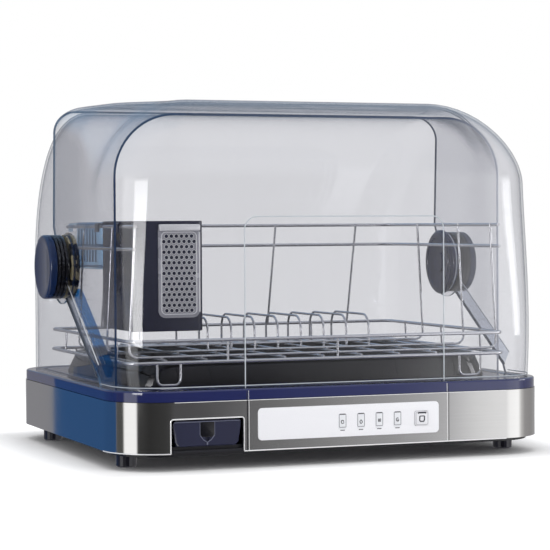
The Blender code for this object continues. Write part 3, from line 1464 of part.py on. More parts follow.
def make_holder(mat, mat_plate):
    """The cutlery holder with its window, and the perforated plate in front of it."""
    holder = hung_box(
        "cutlery_holder",
        (HOLDER_OUTER_X, HOLDER_FRONT_Y, HOLDER_BOTTOM),
        (HOLDER_INNER_X, HOLDER_BACK_Y, HOLDER_TOP),
        mat,
    )
    for helper in hooks("holder_hooks", HOLDER_HOOK_Y, HOLDER_TOP):
        join(holder, helper)
    window = (
        (PLATE_LEFT + PLATE_BORDER, HOLDER_FRONT_Y - OVERRUN, PLATE_BOTTOM + PLATE_BORDER),
        (PLATE_RIGHT - PLATE_BORDER, HOLDER_FRONT_Y + OVERRUN, PLATE_TOP - PLATE_BORDER - PLATE_LIP_HEIGHT),
    )
    cut(holder, box("holder_window", *window))
    back = HOLDER_FRONT_Y - TOUCH
    half_x = (PLATE_RIGHT - PLATE_LEFT) / 2
    half_z = (PLATE_TOP - PLATE_BOTTOM) / 2
    centre = ((PLATE_RIGHT + PLATE_LEFT) / 2, (PLATE_TOP + PLATE_BOTTOM) / 2)
    outline = [(-half_x, half_z), (half_x, half_z)]
    for start, sign in ((0.0, 1), (-pi / 2, -1)):
        for step in range(CORNER_STEPS // 2 + 1):
            angle = start - pi / 2 * step / (CORNER_STEPS // 2)
            x = sign * (half_x - PLATE_CORNER) + PLATE_CORNER * cos(angle)
            outline.append((x, PLATE_CORNER - half_z + PLATE_CORNER * sin(angle)))
    rings = [front_ring(outline, y, centre) for y in (back, back - PLATE_THICKNESS)]
    plate = lofted("perforated_plate", rings, mat_plate)
    lip = (
        (PLATE_LEFT, back - PLATE_LIP, PLATE_TOP - PLATE_THICKNESS),
        (PLATE_RIGHT, back - PLATE_THICKNESS / 2, PLATE_TOP),
    )
    join(plate, box("plate_lip", *lip))
    cut(plate, plate_holes(centre, half_x, half_z, back))
    return holder


def plate_holes(centre, half_x, half_z, back):
    """Staggered holes through the perforated plate."""
    span_x = 2 * (half_x - PLATE_BORDER)
    span_z = 2 * (half_z - PLATE_BORDER) - PLATE_LIP_HEIGHT
    bm = bmesh.new()
    for row in range(HOLE_ROWS):
        z = centre[1] - half_z + PLATE_BORDER + span_z * (row + 1 / 2) / HOLE_ROWS
        columns = HOLE_COLUMNS - row % 2
        for column in range(columns):
            x = centre[0] + (column - (columns - 1) / 2) * span_x / HOLE_COLUMNS
            ends = []
            for y in (back + TOUCH, back - PLATE_THICKNESS - TOUCH):
                ring = front_ring(circle(HOLE_RADIUS, HOLE_SIDES), y, (x, z))
                ends.append([bm.verts.new(point) for point in ring])
            for i in range(HOLE_SIDES):
                j = (i + 1) % HOLE_SIDES
                bm.faces.new((ends[0][i], ends[0][j], ends[1][j], ends[1][i]))
            bm.faces.new(ends[0])
            bm.faces.new(ends[1])
    return add_mesh("plate_holes", bm, None)


def make_cup(mat):
    """The clear slotted cup behind the cutlery holder."""
    cup = hung_box(
        "clear_cup",
        (HOLDER_OUTER_X, CUP_FRONT_Y, CUP_BOTTOM),
        (CUP_INNER_X, CUP_BACK_Y, CUP_TOP),
        mat,
    )
    for helper in hooks("cup_hooks", CUP_HOOK_Y, CUP_TOP):
        join(cup, helper)
    slots = []
    span = CUP_BACK_Y - CUP_FRONT_Y - 2 * CUP_SLOT_MARGIN
    for i in range(CUP_SLOTS):
        y = CUP_FRONT_Y + CUP_SLOT_MARGIN + span * (i + 1 / 2) / CUP_SLOTS
        low = (HOLDER_OUTER_X - OVERRUN, y - CUP_SLOT_WIDTH / 2, CUP_BOTTOM + CUP_SLOT_MARGIN)
        high = (CUP_INNER_X + OVERRUN, y + CUP_SLOT_WIDTH / 2, CUP_TOP - 2 * CUP_SLOT_MARGIN)
        slots.append((low, high))
    return cut(cup, block_row("cup_slots", slots))


def main():
    """Build every part of the dish dryer."""
    clear_scene()
    dark_plastic = material("dark_plastic", (0.03, 0.03, 0.04), 0.45)
    navy_plastic = material("navy_plastic", (0.025, 0.035, 0.13), 0.25)
    smoky_plastic = material("smoky_plastic", (0.03, 0.035, 0.07), 0.15)
    white_plastic = material("white_plastic", (0.82, 0.82, 0.85), 0.35)
    lens_plastic = material("lens_plastic", (0.70, 0.72, 0.75), 0.20)
    grey_plastic = material("grey_plastic", (0.75, 0.75, 0.77), 0.35)
    steel = material("brushed_steel", (0.62, 0.60, 0.58), 0.30, metallic=1.0)
    chrome = material("chromed_wire", (0.75, 0.75, 0.78), 0.12, metallic=1.0)
    rubber = material("black_rubber", (0.02, 0.02, 0.02), 0.80)
    board_green = material("board_green", (0.02, 0.15, 0.06), 0.50)
    clear = material("clear_plastic", (0.88, 0.90, 0.94), 0.05, alpha=0.25)
    blue_clear = material("blue_clear_plastic", (0.45, 0.65, 0.85), 0.08, alpha=0.45)
    bronze = material("bush_bronze", (0.45, 0.36, 0.18), 0.35, metallic=0.8)

    make_base_pan(dark_plastic)
    make_steel_band(steel)
    make_fascia(steel)
    make_control_panel(white_plastic)
    make_windows(lens_plastic)
    stem_end = make_button(grey_plastic)
    make_control_board(board_green, stem_end)
    make_rim_deck(navy_plastic)
    make_grille(navy_plastic)
    make_grommet(rubber)
    make_feet(rubber)
    make_screws(steel)
    make_drawer(smoky_plastic)
    make_fan_housing(dark_plastic)
    make_fan(white_plastic, steel)
    make_duct(dark_plastic, steel)
    make_power_board(board_green)
    make_rear_cover(clear)
    make_front_cover(clear)
    make_hubs(bronze, dark_plastic, navy_plastic, steel)
    make_tray(dark_plastic)
    make_basket(chrome)
    make_dividers(chrome)
    make_guard(chrome)
    make_holder(navy_plastic, steel)
    make_cup(blue_clear)


main()
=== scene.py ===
"""Looks of a countertop dish dryer: clear covers, steel band, control panel, wire rack and studio.

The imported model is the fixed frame. Every visible piece below is a surface worked out with
numpy, in millimetres, turned into metres when its mesh is made, and rides on a body of the
frame. Axes: +X right, +Y back, +Z up, origin under the middle of the base.
"""

from __future__ import annotations

import json
import logging
from dataclasses import dataclass
from enum import Enum
from typing import ClassVar

import bmesh
import bpy
import numpy as np
from mathutils import Matrix, Vector
from mathutils.geometry import tessellate_polygon

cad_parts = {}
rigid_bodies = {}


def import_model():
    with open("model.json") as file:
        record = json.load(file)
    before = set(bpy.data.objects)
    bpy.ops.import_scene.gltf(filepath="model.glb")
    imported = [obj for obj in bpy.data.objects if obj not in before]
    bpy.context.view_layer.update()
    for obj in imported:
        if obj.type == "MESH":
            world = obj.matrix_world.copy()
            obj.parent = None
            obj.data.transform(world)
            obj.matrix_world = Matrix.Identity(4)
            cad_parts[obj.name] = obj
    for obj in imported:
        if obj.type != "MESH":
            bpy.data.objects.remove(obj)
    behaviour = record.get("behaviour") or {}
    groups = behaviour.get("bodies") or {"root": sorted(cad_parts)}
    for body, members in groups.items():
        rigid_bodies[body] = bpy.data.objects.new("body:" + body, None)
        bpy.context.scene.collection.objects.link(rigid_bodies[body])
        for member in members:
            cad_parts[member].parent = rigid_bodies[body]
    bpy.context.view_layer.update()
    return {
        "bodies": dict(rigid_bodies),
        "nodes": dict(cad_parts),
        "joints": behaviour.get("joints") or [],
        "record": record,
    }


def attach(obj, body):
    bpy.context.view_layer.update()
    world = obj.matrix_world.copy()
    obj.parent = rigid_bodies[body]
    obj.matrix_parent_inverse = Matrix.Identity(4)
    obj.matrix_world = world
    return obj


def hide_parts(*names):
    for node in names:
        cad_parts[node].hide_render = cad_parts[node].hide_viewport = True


LOG = logging.getLogger("dish_dryer")
Array = np.ndarray
Skin = tuple[Array, list]
Socket = bpy.types.NodeSocket
Point2 = tuple[float, float]
Point3 = tuple[float, float, float]
Corners = tuple[Point2, Point2]
Walls = tuple[Array, Array, Array]
Material = bpy.types.Material
MM = 0.001
WELD_MM = 1e-4
PARTNER_MM = 1e-3
QUARTER = np.pi / 2
SMOOTH_ANGLE = np.radians(34.0)
NOISE_SPAN = (0.3, 0.7)


class Body(str, Enum):
    """Moving bodies of the frame."""

    BASE = "base"
    COVER = "front_cover"
    DRAWER = "water_drawer"
    BUTTON = "power_button"
    TRAY = "drip_tray"
    RACK = "dish_rack"
    HOLDER = "cutlery_holder"
    CUP = "clear_cup"


class Axis(Enum):
    """Axis that a turned shape is turned about."""

    X = 0
    Y = 1
    Z = 2


# Surfaces.


def grid_faces(rows: int, columns: int, round_rows: bool = False, round_columns: bool = False) -> Array:
    """Quads between neighbouring points of a grid.

    Args:
        rows: number of rows of points.
        columns: number of points in a row.
        round_rows: whether the last row meets the first.
        round_columns: whether each row's last point meets its first.

    Returns:
        Index array of four corners a face: (row, column), the next column, then both on the next row.
    """
    row, column = np.meshgrid(
        np.arange(rows if round_rows else rows - 1),
        np.arange(columns if round_columns else columns - 1),
        indexing="ij",
    )
    next_row, next_column = (row + 1) % rows, (column + 1) % columns
    corners = (
        row * columns + column,
        row * columns + next_column,
        next_row * columns + next_column,
        next_row * columns + column,
    )
    return np.stack(corners, axis=-1).reshape(-1, 4)


def rounded_outline(half_x: float, half_y: float, radius: float, steps: int = 12) -> tuple[Array, Array]:
    """Rounded rectangle: each quarter is its corner's centre plus radius times (cos a, sin a).

    Args:
        half_x: half of the width.
        half_y: half of the depth.
        radius: radius of the corners.
        steps: steps in each quarter turn.

    Returns:
        The outline's points and its outward normals, counter-clockwise.
    """
    angle = (np.arange(4)[:, None] * QUARTER + np.linspace(0.0, QUARTER, steps + 1)[None, :]).ravel()
    side_x = np.repeat([1.0, -1.0, -1.0, 1.0], steps + 1)
    side_y = np.repeat([1.0, 1.0, -1.0, -1.0], steps + 1)
    normal = np.stack([np.cos(angle), np.sin(angle)], axis=-1)
    centre = np.stack([side_x * (half_x - radius), side_y * (half_y - radius)], axis=-1)
    return centre + normal * radius, normal


def circle(radius: float, steps: int) -> Array:
    """Points of a circle: radius times (cos a, sin a)."""
    angle = np.linspace(0.0, 4 * QUARTER, steps, endpoint=False)
    return radius * np.stack([np.cos(angle), np.sin(angle)], axis=-1)


def smooth_step(share: Array) -> Array:
    """Share squared times (3 - 2 share), with the share held between 0 and 1."""
    held = np.clip(share, 0.0, 1.0)
    return held * held * (3.0 - 2.0 * held)


def ease(start: float, end: float, share: Array) -> Array:
    """Start plus (end - start) times the smooth step of the share."""
    return start + (end - start) * smooth_step(share)


def bent_path(corners: list[tuple[float, float, float]], radius: float, steps: int = 8) -> Array:
    """Polyline with each inner corner rounded to an arc that meets both its sides.

    The arc's centre lies on the corner's bisector at radius / sin(half the corner's angle),
    and its points turn evenly from one foot of the centre to the other.

    Args:
        corners: the polyline's points.
        radius: radius of the bends.
        steps: steps in each bend.

    Returns:
        The path's points.
    """
    points = np.asarray(corners, float)
    back = points[:-2] - points[1:-1]
    ahead = points[2:] - points[1:-1]
    back /= np.linalg.norm(back, axis=1)[:, None]
    ahead /= np.linalg.norm(ahead, axis=1)[:, None]
    half = np.arccos(np.clip((back * ahead).sum(1), -1, 1)) / 2
    middle = back + ahead
    middle /= np.linalg.norm(middle, axis=1)[:, None]
    centre = points[1:-1] + middle * (radius / np.sin(half))[:, None]
    foot = (radius / np.tan(half))[:, None]
    start = points[1:-1] + back * foot - centre
    end = points[1:-1] + ahead * foot - centre
    turn = (np.pi - 2 * half)[:, None, None]
    share = np.linspace(0, 1, steps + 1)[None, :, None]
    arcs = (np.sin((1 - share) * turn) * start[:, None] + np.sin(share * turn) * end[:, None]) / np.sin(turn)
    return np.concatenate([points[:1], (centre[:, None] + arcs).reshape(-1, 3), points[-1:]])


def wire_skin(path: Array, radius: float, sides: int, closed: bool = False) -> tuple[Array, list]:
    """Skin of a wire along a flat path.

    At each point of the path it is radius times (cos a across + sin a along the plane's normal).

    Args:
        path: points of the wire's middle line, which lies in one plane.
        radius: radius of the wire.
        sides: points round the wire.
        closed: whether the path's end meets its start.

    Returns:
        The skin's points and its faces, with flat ends where the path is open.
    """
    if closed:
        ahead = np.roll(path, -1, axis=0) - np.roll(path, 1, axis=0)
    else:
        step = np.diff(path, axis=0)
        step /= np.linalg.norm(step, axis=1)[:, None]
        ahead = np.concatenate([step[:1], step[:-1] + step[1:], step[-1:]])
    ahead /= np.linalg.norm(ahead, axis=1)[:, None]
    turns = np.cross(ahead[:-1], ahead[1:])
    sizes = np.linalg.norm(turns, axis=1)
    if sizes.max() > 1e-6:
        normal = turns[sizes.argmax()] / sizes.max()
    else:
        normal = np.cross(ahead[0], (0.0, 0.0, 1.0) if abs(ahead[0, 2]) < 0.9 else (1.0, 0.0, 0.0))
        normal /= np.linalg.norm(normal)
    across = np.cross(ahead, normal)
    across /= np.linalg.norm(across, axis=1)[:, None]
    ring = circle(radius, sides)
    skin = path[:, None] + ring[None, :, :1] * across[:, None] + ring[None, :, 1:] * normal[None, None]
    faces: list = grid_faces(len(path), sides, closed, True).tolist()
    if not closed:
        last = (len(path) - 1) * sides
        faces += [list(range(sides)), list(range(last, last + sides))]
    return skin.reshape(-1, 3), faces


def rod(start: Point3, end: Point3, radius: float, sides: int = 8) -> Skin:
    """Skin of a straight wire between two points."""
    return wire_skin(np.array([start, end], float), radius, sides)


def level(outline: Array, height: float) -> Array:
    """Outline of (x, y) points laid level at that height."""
    return np.column_stack([outline, np.full(len(outline), height)])


def loft(rings: Array, cap_first: bool = True, cap_last: bool = True) -> Skin:
    """Skin through closed rings of equal count.

    Args:
        rings: points, one row for each ring.
        cap_first: whether a flat face closes the first ring.
        cap_last: whether a flat face closes the last ring.

    Returns:
        The skin's points and faces, with the caps as the last faces.
    """
    count, size = rings.shape[:2]
    faces: list = grid_faces(count, size, False, True).tolist()
    if cap_first:
        faces.append(list(range(size)))
    if cap_last:
        faces.append(list(range((count - 1) * size, count * size)))
    return rings.reshape(-1, 3), faces


def box_rings(layers: list[tuple[float, float, float, float]], steps: int = 12) -> Array:
    """Rounded rectangles one above another.

    Args:
        layers: (half width, half depth, corner radius, height) of each rectangle.
        steps: steps in each corner.

    Returns:
        One ring of points for each layer.
    """
    return np.stack([level(rounded_outline(*sizes, steps)[0], height) for *sizes, height in layers])


def turned(
    profile: Array, axis: Axis, centre: Point2, steps: int, valleys: Array | None = None, ridge_count: int = 0
) -> Array:
    """Rings of a turned shape: at each profile place, radius times (cos a, sin a) about the axis.

    With ridges the radius loses the valley's depth times (half plus half cos(ridge count a)) squared.

    Args:
        profile: (place along the axis, radius) pairs.
        axis: the axis that it is turned about.
        centre: the axis's place in the other two directions, in order.
        steps: points round the shape.
        valleys: depth between two ridges at each profile point, or None.
        ridge_count: number of ridges round the shape.

    Returns:
        Rings of points, one for each profile place.
    """
    angle = np.linspace(0.0, 4 * QUARTER, steps, endpoint=False)
    radius = np.broadcast_to(profile[:, 1, None], (len(profile), steps)).copy()
    if valleys is not None:
        radius -= valleys[:, None] * (0.5 + 0.5 * np.cos(angle * ridge_count))[None, :] ** 2
    rings = np.empty((len(profile), steps, 3))
    others = [i for i in range(3) if i != axis.value]
    rings[..., axis.value] = profile[:, 0, None]
    rings[..., others[0]] = centre[0] + radius * np.cos(angle)
    rings[..., others[1]] = centre[1] + radius * np.sin(angle)
    return rings


def slab(outline: Array, low: float, high: float, edge: float, axis: Axis = Axis.Y) -> Skin:
    """Flat slab with a rounded edge: the outline drawn in by (1 - sin a) edge at (1 - cos a) edge.

    Args:
        outline: closed outline in the slab's plane, as in front_outline.
        low: place of the face that is seen.
        high: place of the back face.
        edge: radius of the edge of the face that is seen.
        axis: axis that the slab is square to.

    Returns:
        The slab's points and faces, with its two flat faces last.
    """
    middle = (outline.max(0) + outline.min(0)) / 2
    half = (outline.max(0) - outline.min(0)) / 2
    way = 1.0 if high > low else -1.0
    rings = []
    for angle in np.linspace(0.0, QUARTER, 5):
        place = middle + (outline - middle) * (1 - (1 - np.sin(angle)) * edge / half)
        rings.append(np.insert(place, axis.value, low + way * (1 - np.cos(angle)) * edge, axis=1))
    rings.append(np.insert(outline, axis.value, high, axis=1))
    return loft(np.stack(rings))


def front_outline(low: Point2, high: Point2, radius: float, steps: int = 8) -> Array:
    """Rounded rectangle between two corners of the front plane, as (x, z) points."""
    outline, _ = rounded_outline((high[0] - low[0]) / 2, (high[1] - low[1]) / 2, radius, steps)
    return outline + np.array([(high[0] + low[0]) / 2, (high[1] + low[1]) / 2])


def strip_rings(outline: Array, layers: list[Point2], half_width: float) -> Array:
    """Rings of a raised strip square to X: the outline times (1 - inset / half width) about its middle.

    Args:
        outline: (y, z) corners of the strip.
        layers: (inset, x) of each ring.
        half_width: half width that the insets are shares of.

    Returns:
        One ring of points for each layer.
    """
    middle = outline.mean(0)
    shrunk = [(middle + (outline - middle) * (1 - inset / half_width), x) for inset, x in layers]
    return np.stack([np.insert(ring, 0, x, axis=1) for ring, x in shrunk])


def holed_plane(outline: Array, hole: Array, axis: Axis, place: float) -> tuple[Array, Array]:
    """Flat face with one hole.

    Args:
        outline: closed outline in the face's plane.
        hole: closed outline of the hole.
        axis: axis that the face is square to.
        place: its place along that axis.

    Returns:
        The points and triangles of the face.
    """
    rings = [np.insert(ring, axis.value, place, axis=1) for ring in (outline, hole)]
    triangles = tessellate_polygon([[Vector(point) for point in ring] for ring in rings])
    return np.concatenate(rings), np.array(triangles)


class Piece:
    """Points and faces in millimetres, gathered from several surfaces into one mesh."""

    def __init__(self) -> None:
        """Starts with no surface."""
        self.points: list[Array] = []
        self.faces: list[list[int]] = []
        self.tags: list[int] = []
        self.count = 0

    def add(self, points: Array, faces: Array | list, tag: int = 0) -> Piece:
        """Adds a surface.

        Args:
            points: its points.
            faces: its faces, counted from its own first point.
            tag: which of the piece's finishes it has.

        Returns:
            The piece itself.
        """
        flat = np.asarray(points, float).reshape(-1, 3)
        self.faces += [[index + self.count for index in face] for face in faces]
        self.tags += [tag] * len(faces)
        self.points.append(flat)
        self.count += len(flat)
        return self

    def build(
        self, name: str, body: Body, slot: str, *finishes: Finish, nodes: tuple[str, ...] = ()
    ) -> bpy.types.Object:
        """Makes the mesh, smooths its shallow edges, dresses it and lets it ride on its body.

        Args:
            name: name of the piece.
            body: body that carries it.
            slot: material slot of the record; not used.
            finishes: its finishes, in the order of the tags.
            nodes: nodes of the frame that it stands for.

        Returns:
            The piece's object.
        """
        mesh = bpy.data.meshes.new(name)
        mesh.from_pydata((np.concatenate(self.points) * MM).tolist(), [], self.faces)
        mesh.polygons.foreach_set("material_index", np.array(self.tags, dtype=np.int32))
        for finish in finishes:
            mesh.materials.append(finish.made())
        work = bmesh.new()
        work.from_mesh(mesh)
        bmesh.ops.remove_doubles(work, verts=work.verts, dist=WELD_MM * MM)
        bmesh.ops.dissolve_degenerate(work, edges=work.edges, dist=WELD_MM * MM)
        bmesh.ops.recalc_face_normals(work, faces=work.faces)
        work.to_mesh(mesh)
        work.free()
        mesh.polygons.foreach_set("use_smooth", np.ones(len(mesh.polygons), dtype=bool))
        mesh.set_sharp_from_angle(angle=SMOOTH_ANGLE)
        item = bpy.data.objects.new(name, mesh)
        bpy.context.scene.collection.objects.link(item)
        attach(item, body.value)
        if nodes:
            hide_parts(*nodes)
        LOG.info("%s: %d faces on %s", name, len(mesh.polygons), body.value)
        return item


def thick_shell(outer: Array, inner: Array, faces: list[Array]) -> tuple[Array, list, int]:
    """Closes an outer and an inner skin of the same layout into one wall.

    Points of the outer skin at one place become one, with their inner partners. An edge that
    only one face uses is free, and a quad joins it to the same edge of the inner skin.

    Args:
        outer: points of the outer skin.
        inner: their partners on the inner skin.
        faces: index arrays of the skin's quads and triangles.

    Returns:
        Points, faces, and how many of the faces belong to the skins; the rest are free edges.
    """
    _, first, where = np.unique(
        np.round(outer / PARTNER_MM), axis=0, return_index=True, return_inverse=True
    )
    where = where.ravel()
    outer, inner = outer[first], inner[first]
    count = len(outer)
    faces = [where[face] for face in faces]
    edges = np.concatenate([np.stack([f, np.roll(f, -1, axis=1)], axis=-1).reshape(-1, 2) for f in faces])
    edges = edges[edges[:, 0] != edges[:, 1]]
    _, index, uses = np.unique(np.sort(edges, axis=1), axis=0, return_index=True, return_counts=True)
    free = edges[index[uses == 1]]
    made: list = []
    for face in faces:
        made += face.tolist()
        made += (face[:, ::-1] + count).tolist()
    skins = len(made)
    rim = np.stack([free[:, 0], free[:, 1], free[:, 1] + count, free[:, 0] + count], axis=-1)
    return np.concatenate([outer, inner]), made + rim.tolist(), skins


# Finishes.


class Nodes:
    """Node tree with short calls for the nodes that the finishes and the studio use."""

    def __init__(self, tree: bpy.types.NodeTree) -> None:
        """Empties the tree."""
        self.tree = tree
        self.tree.nodes.clear()

    def node(self, kind: str, inputs: dict | None = None, **settings: object) -> bpy.types.Node:
        """Makes a node.

        Args:
            kind: Blender's name of the node.
            inputs: values or sockets for its inputs, by name or number.
            settings: its other properties.

        Returns:
            The node.
        """
        made = self.tree.nodes.new(kind)
        for key, value in settings.items():
            setattr(made, key, value)
        for key, value in (inputs or {}).items():
            if isinstance(value, Socket):
                self.tree.links.new(value, made.inputs[key])
            else:
                made.inputs[key].default_value = value
        return made

    def math(self, operation: str, first: Socket, second: Socket | float) -> Socket:
        """Result of one operation on two numbers."""
        return self.node("ShaderNodeMath", {0: first, 1: second}, operation=operation).outputs[0]

    def vector(self, operation: str, *values: Socket | Point3) -> Socket:
        """Result of one operation on vectors, which is a number for LENGTH alone."""
        made = self.node("ShaderNodeVectorMath", dict(enumerate(values)), operation=operation)
        return made.outputs["Value" if operation == "LENGTH" else "Vector"]

    def ranged(
        self, value: Socket, source: Point2 = (0.0, 1.0), target: Point2 = (0.0, 1.0), soft: bool = False
    ) -> Socket:
        """A number that goes from one end of the target to the other as the value crosses the source.

        Args:
            value: the number that is read.
            source: its values at both ends.
            target: the results at both ends.
            soft: whether the way between is a smooth step.

        Returns:
            The result, held between both ends.
        """
        inputs = {"Value": value, "From Min": source[0], "From Max": source[1]}
        inputs |= {"To Min": target[0], "To Max": target[1]}
        way = "SMOOTHSTEP" if soft else "LINEAR"
        return self.node("ShaderNodeMapRange", inputs, interpolation_type=way).outputs["Result"]

    def blend(self, share: Socket, first: Socket | tuple, second: Socket | tuple) -> Socket:
        """A colour that goes from the first to the second with the share.

        Args:
            share: share of the second.
            first: socket or colour at a share of nought.
            second: socket or colour at a share of one.

        Returns:
            The colour's socket.
        """
        ends = [value if isinstance(value, Socket) else (*value, 1.0) for value in (first, second)]
        inputs = {0: share, 6: ends[0], 7: ends[1]}
        return self.node("ShaderNodeMix", inputs, data_type="RGBA").outputs[2]


class Tree(Nodes):
    """Node tree of one material, on Object coordinates in metres."""

    def __init__(self, name: str) -> None:
        """Starts a material with nothing but its output.

        Args:
            name: name of the material.
        """
        self.material = bpy.data.materials.new(name)
        self.material.use_nodes = True
        super().__init__(self.material.node_tree)
        self.output = self.node("ShaderNodeOutputMaterial")

    def place(self, scale: Point3 = (1, 1, 1)) -> Socket:
        """Object coordinates, stretched by the scale."""
        source = self.node("ShaderNodeTexCoord").outputs["Object"]
        return self.node("ShaderNodeMapping", {"Vector": source, "Scale": scale}).outputs["Vector"]

    def noise(self, vector: Socket, scale: float, detail: float = 3.0) -> Socket:
        """Soft noise of so many features a metre."""
        inputs = {"Vector": vector, "Scale": scale, "Detail": detail}
        return self.node("ShaderNodeTexNoise", inputs).outputs["Fac"]

    def between(self, noise: Socket, low: float, high: float) -> Socket:
        """A number that goes from low to high over the span that most of a noise lies in."""
        return self.ranged(noise, NOISE_SPAN, (low, high))

    def bump(self, height: Socket, depth: float, strength: float = 1.0) -> Socket:
        """Surface relief of the given depth in metres."""
        inputs = {"Height": height, "Distance": depth, "Strength": strength}
        return self.node("ShaderNodeBump", inputs).outputs["Normal"]

    def finish(self, shader: bpy.types.Node) -> Material:
        """Links the shader to the output."""
        self.tree.links.new(shader.outputs[0], self.output.inputs["Surface"])
        return self.material


class Finish:
    """A finish, whose material is made when it is first asked for."""

    name: str
    store: ClassVar[dict[str, Material]] = {}

    def material(self) -> Material:
        """Makes the material, which each kind of finish does in its own way."""
        raise NotImplementedError

    def made(self) -> Material:
        """The finish's only material."""
        if self.name not in self.store:
            self.store[self.name] = self.material()
        return self.store[self.name]


@dataclass(frozen=True)
class Moulded(Finish):
    """Moulded plastic or rubber: slightly uneven colour and gloss, and a fine skin texture."""

    name: str
    colour: Point3
    roughness: float
    grain: float = 900.0
    depth: float = 1e-5
    uneven: float = 0.06
    coat: float = 0.0
    coat_index: float = 1.5
    cloud: float = 14.0
    gloss_spread: float = 0.15
    coat_roughness: float = 0.05

    def material(self) -> Material:
        """Colour follows a broad noise, and roughness and relief a fine one."""
        tree = Tree(self.name)
        place = tree.place()
        broad = tree.noise(place, self.cloud)
        fine = tree.noise(place, self.grain, 2.0)
        low = tuple(channel * (1 - self.uneven) for channel in self.colour)
        high = tuple(min(channel * (1 + self.uneven), 1.0) for channel in self.colour)
        rough = (self.roughness * (1 - self.gloss_spread), self.roughness * (1 + self.gloss_spread))
        inputs = {
            "Base Color": tree.blend(broad, low, high),
            "Roughness": tree.between(fine, *rough),
            "Normal": tree.bump(fine, self.depth),
            "Coat Weight": self.coat,
            "Coat IOR": self.coat_index,
            "Coat Roughness": self.coat_roughness,
        }
        return tree.finish(tree.node("ShaderNodeBsdfPrincipled", inputs))


@dataclass(frozen=True)
class Brushed(Finish):
    """Brushed metal: fine streaks that run level round the body, with a soft cloudy sheen."""

    name: str
    colour: Point3
    roughness: float
    streaks: Point3 = (7.0, 7.0, 1500.0)
    depth: float = 6e-6
    metallic: float = 1.0
    streak_shade: float = 0.93
    cloud: float = 16.0
    gloss_shares: Point2 = (0.8, 1.25)

    def material(self) -> Material:
        """Streaks are noise drawn out along X and Y, and clouds a broad noise."""
        tree = Tree(self.name)
        streak = tree.noise(tree.place(self.streaks), 1.0, 4.0)
        cloud = tree.noise(tree.place(), self.cloud)
        dark = tuple(channel * self.streak_shade for channel in self.colour)
        rough = [self.roughness * share for share in self.gloss_shares]
        inputs = {
            "Base Color": tree.blend(streak, dark, self.colour),
            "Metallic": self.metallic,
            "Roughness": tree.between(cloud, *rough),
            "Normal": tree.bump(streak, self.depth),
        }
        return tree.finish(tree.node("ShaderNodeBsdfPrincipled", inputs))


@dataclass(frozen=True)
class Clear(Finish):
    """Clear moulded plastic: each skin lets most light through and mirrors more of it at a slant."""

    name: str
    tint: Point3
    slant_tint: Point3
    mirror: float = 0.04
    slant_mirror: float = 0.55
    roughness: float = 0.03
    wave: float = 9.0
    wave_depth: float = 0.0006
    wave_strength: float = 0.6
    mirror_power: float = 5.0
    tint_power: float = 8.0

    def material(self) -> Material:
        """Share mirrored is mirror plus (slant mirror - mirror) times the slant to the mirror power.

        The tint goes to the slant tint with the slant to the tint power.
        """
        tree = Tree(self.name)
        slant = tree.node("ShaderNodeLayerWeight", {"Blend": 0.5}).outputs["Facing"]
        tint = tree.blend(tree.math("POWER", slant, self.tint_power), self.tint, self.slant_tint)
        through = tree.node("ShaderNodeBsdfTransparent", {"Color": tint})
        relief = tree.bump(tree.noise(tree.place(), self.wave, 1.0), self.wave_depth, self.wave_strength)
        mirror = {"Color": (1, 1, 1, 1), "Roughness": self.roughness, "Normal": relief}
        gloss = tree.node("ShaderNodeBsdfAnisotropic", mirror)
        rise = tree.math("POWER", slant, self.mirror_power)
        share = tree.ranged(rise, target=(self.mirror, self.slant_mirror))
        inputs = {0: share, 1: through.outputs[0], 2: gloss.outputs[0]}
        return tree.finish(tree.node("ShaderNodeMixShader", inputs))


@dataclass(frozen=True)
class PaintedReflectionEdge(Finish):
    """Polished cut edge of a clear sheet, coloured with painted reflection.

    Its colour is painted dark where the sheet would show its end on, and pale where it would let light out.
    """

    name: str
    left: Point3
    middle: Point3
    right: Point3
    left_fade: Point2 = (-0.236, -0.225)
    right_fade: Point2 = (0.165, 0.215)
    roughness: float = 0.15

    def material(self) -> Material:
        """The painted reflection colour follows X: left colour, then the middle one, then the right one."""
        tree = Tree(self.name)
        across = tree.node("ShaderNodeSeparateXYZ", {"Vector": tree.place()}).outputs["X"]
        inner = tree.blend(tree.ranged(across, self.left_fade), self.left, self.middle)
        colour = tree.blend(tree.ranged(across, self.right_fade), inner, self.right)
        inputs = {"Base Color": colour, "Roughness": self.roughness}
        return tree.finish(tree.node("ShaderNodeBsdfPrincipled", inputs))


@dataclass(frozen=True)
class Mottled(Finish):
    """Cast bronze-coloured bush with dark leafy blotches."""

    name: str
    light: Point3
    dark: Point3
    cells: float = 115.0
    cut: Point2 = (0.42, 0.5)
    metallic: float = 0.35

    def material(self) -> Material:
        """Blotches are the cells of a Voronoi pattern whose random value lies above the cut."""
        tree = Tree(self.name)
        cells = {"Vector": tree.place(), "Scale": self.cells}
        colours = tree.node("ShaderNodeTexVoronoi", cells, feature="F1").outputs["Color"]
        value = tree.node("ShaderNodeSeparateColor", {"Color": colours}).outputs[0]
        inputs = {
            "Base Color": tree.blend(tree.ranged(value, self.cut), self.dark, self.light),
            "Roughness": tree.between(value, 0.25, 0.45),
            "Metallic": self.metallic,
        }
        return tree.finish(tree.node("ShaderNodeBsdfPrincipled", inputs))


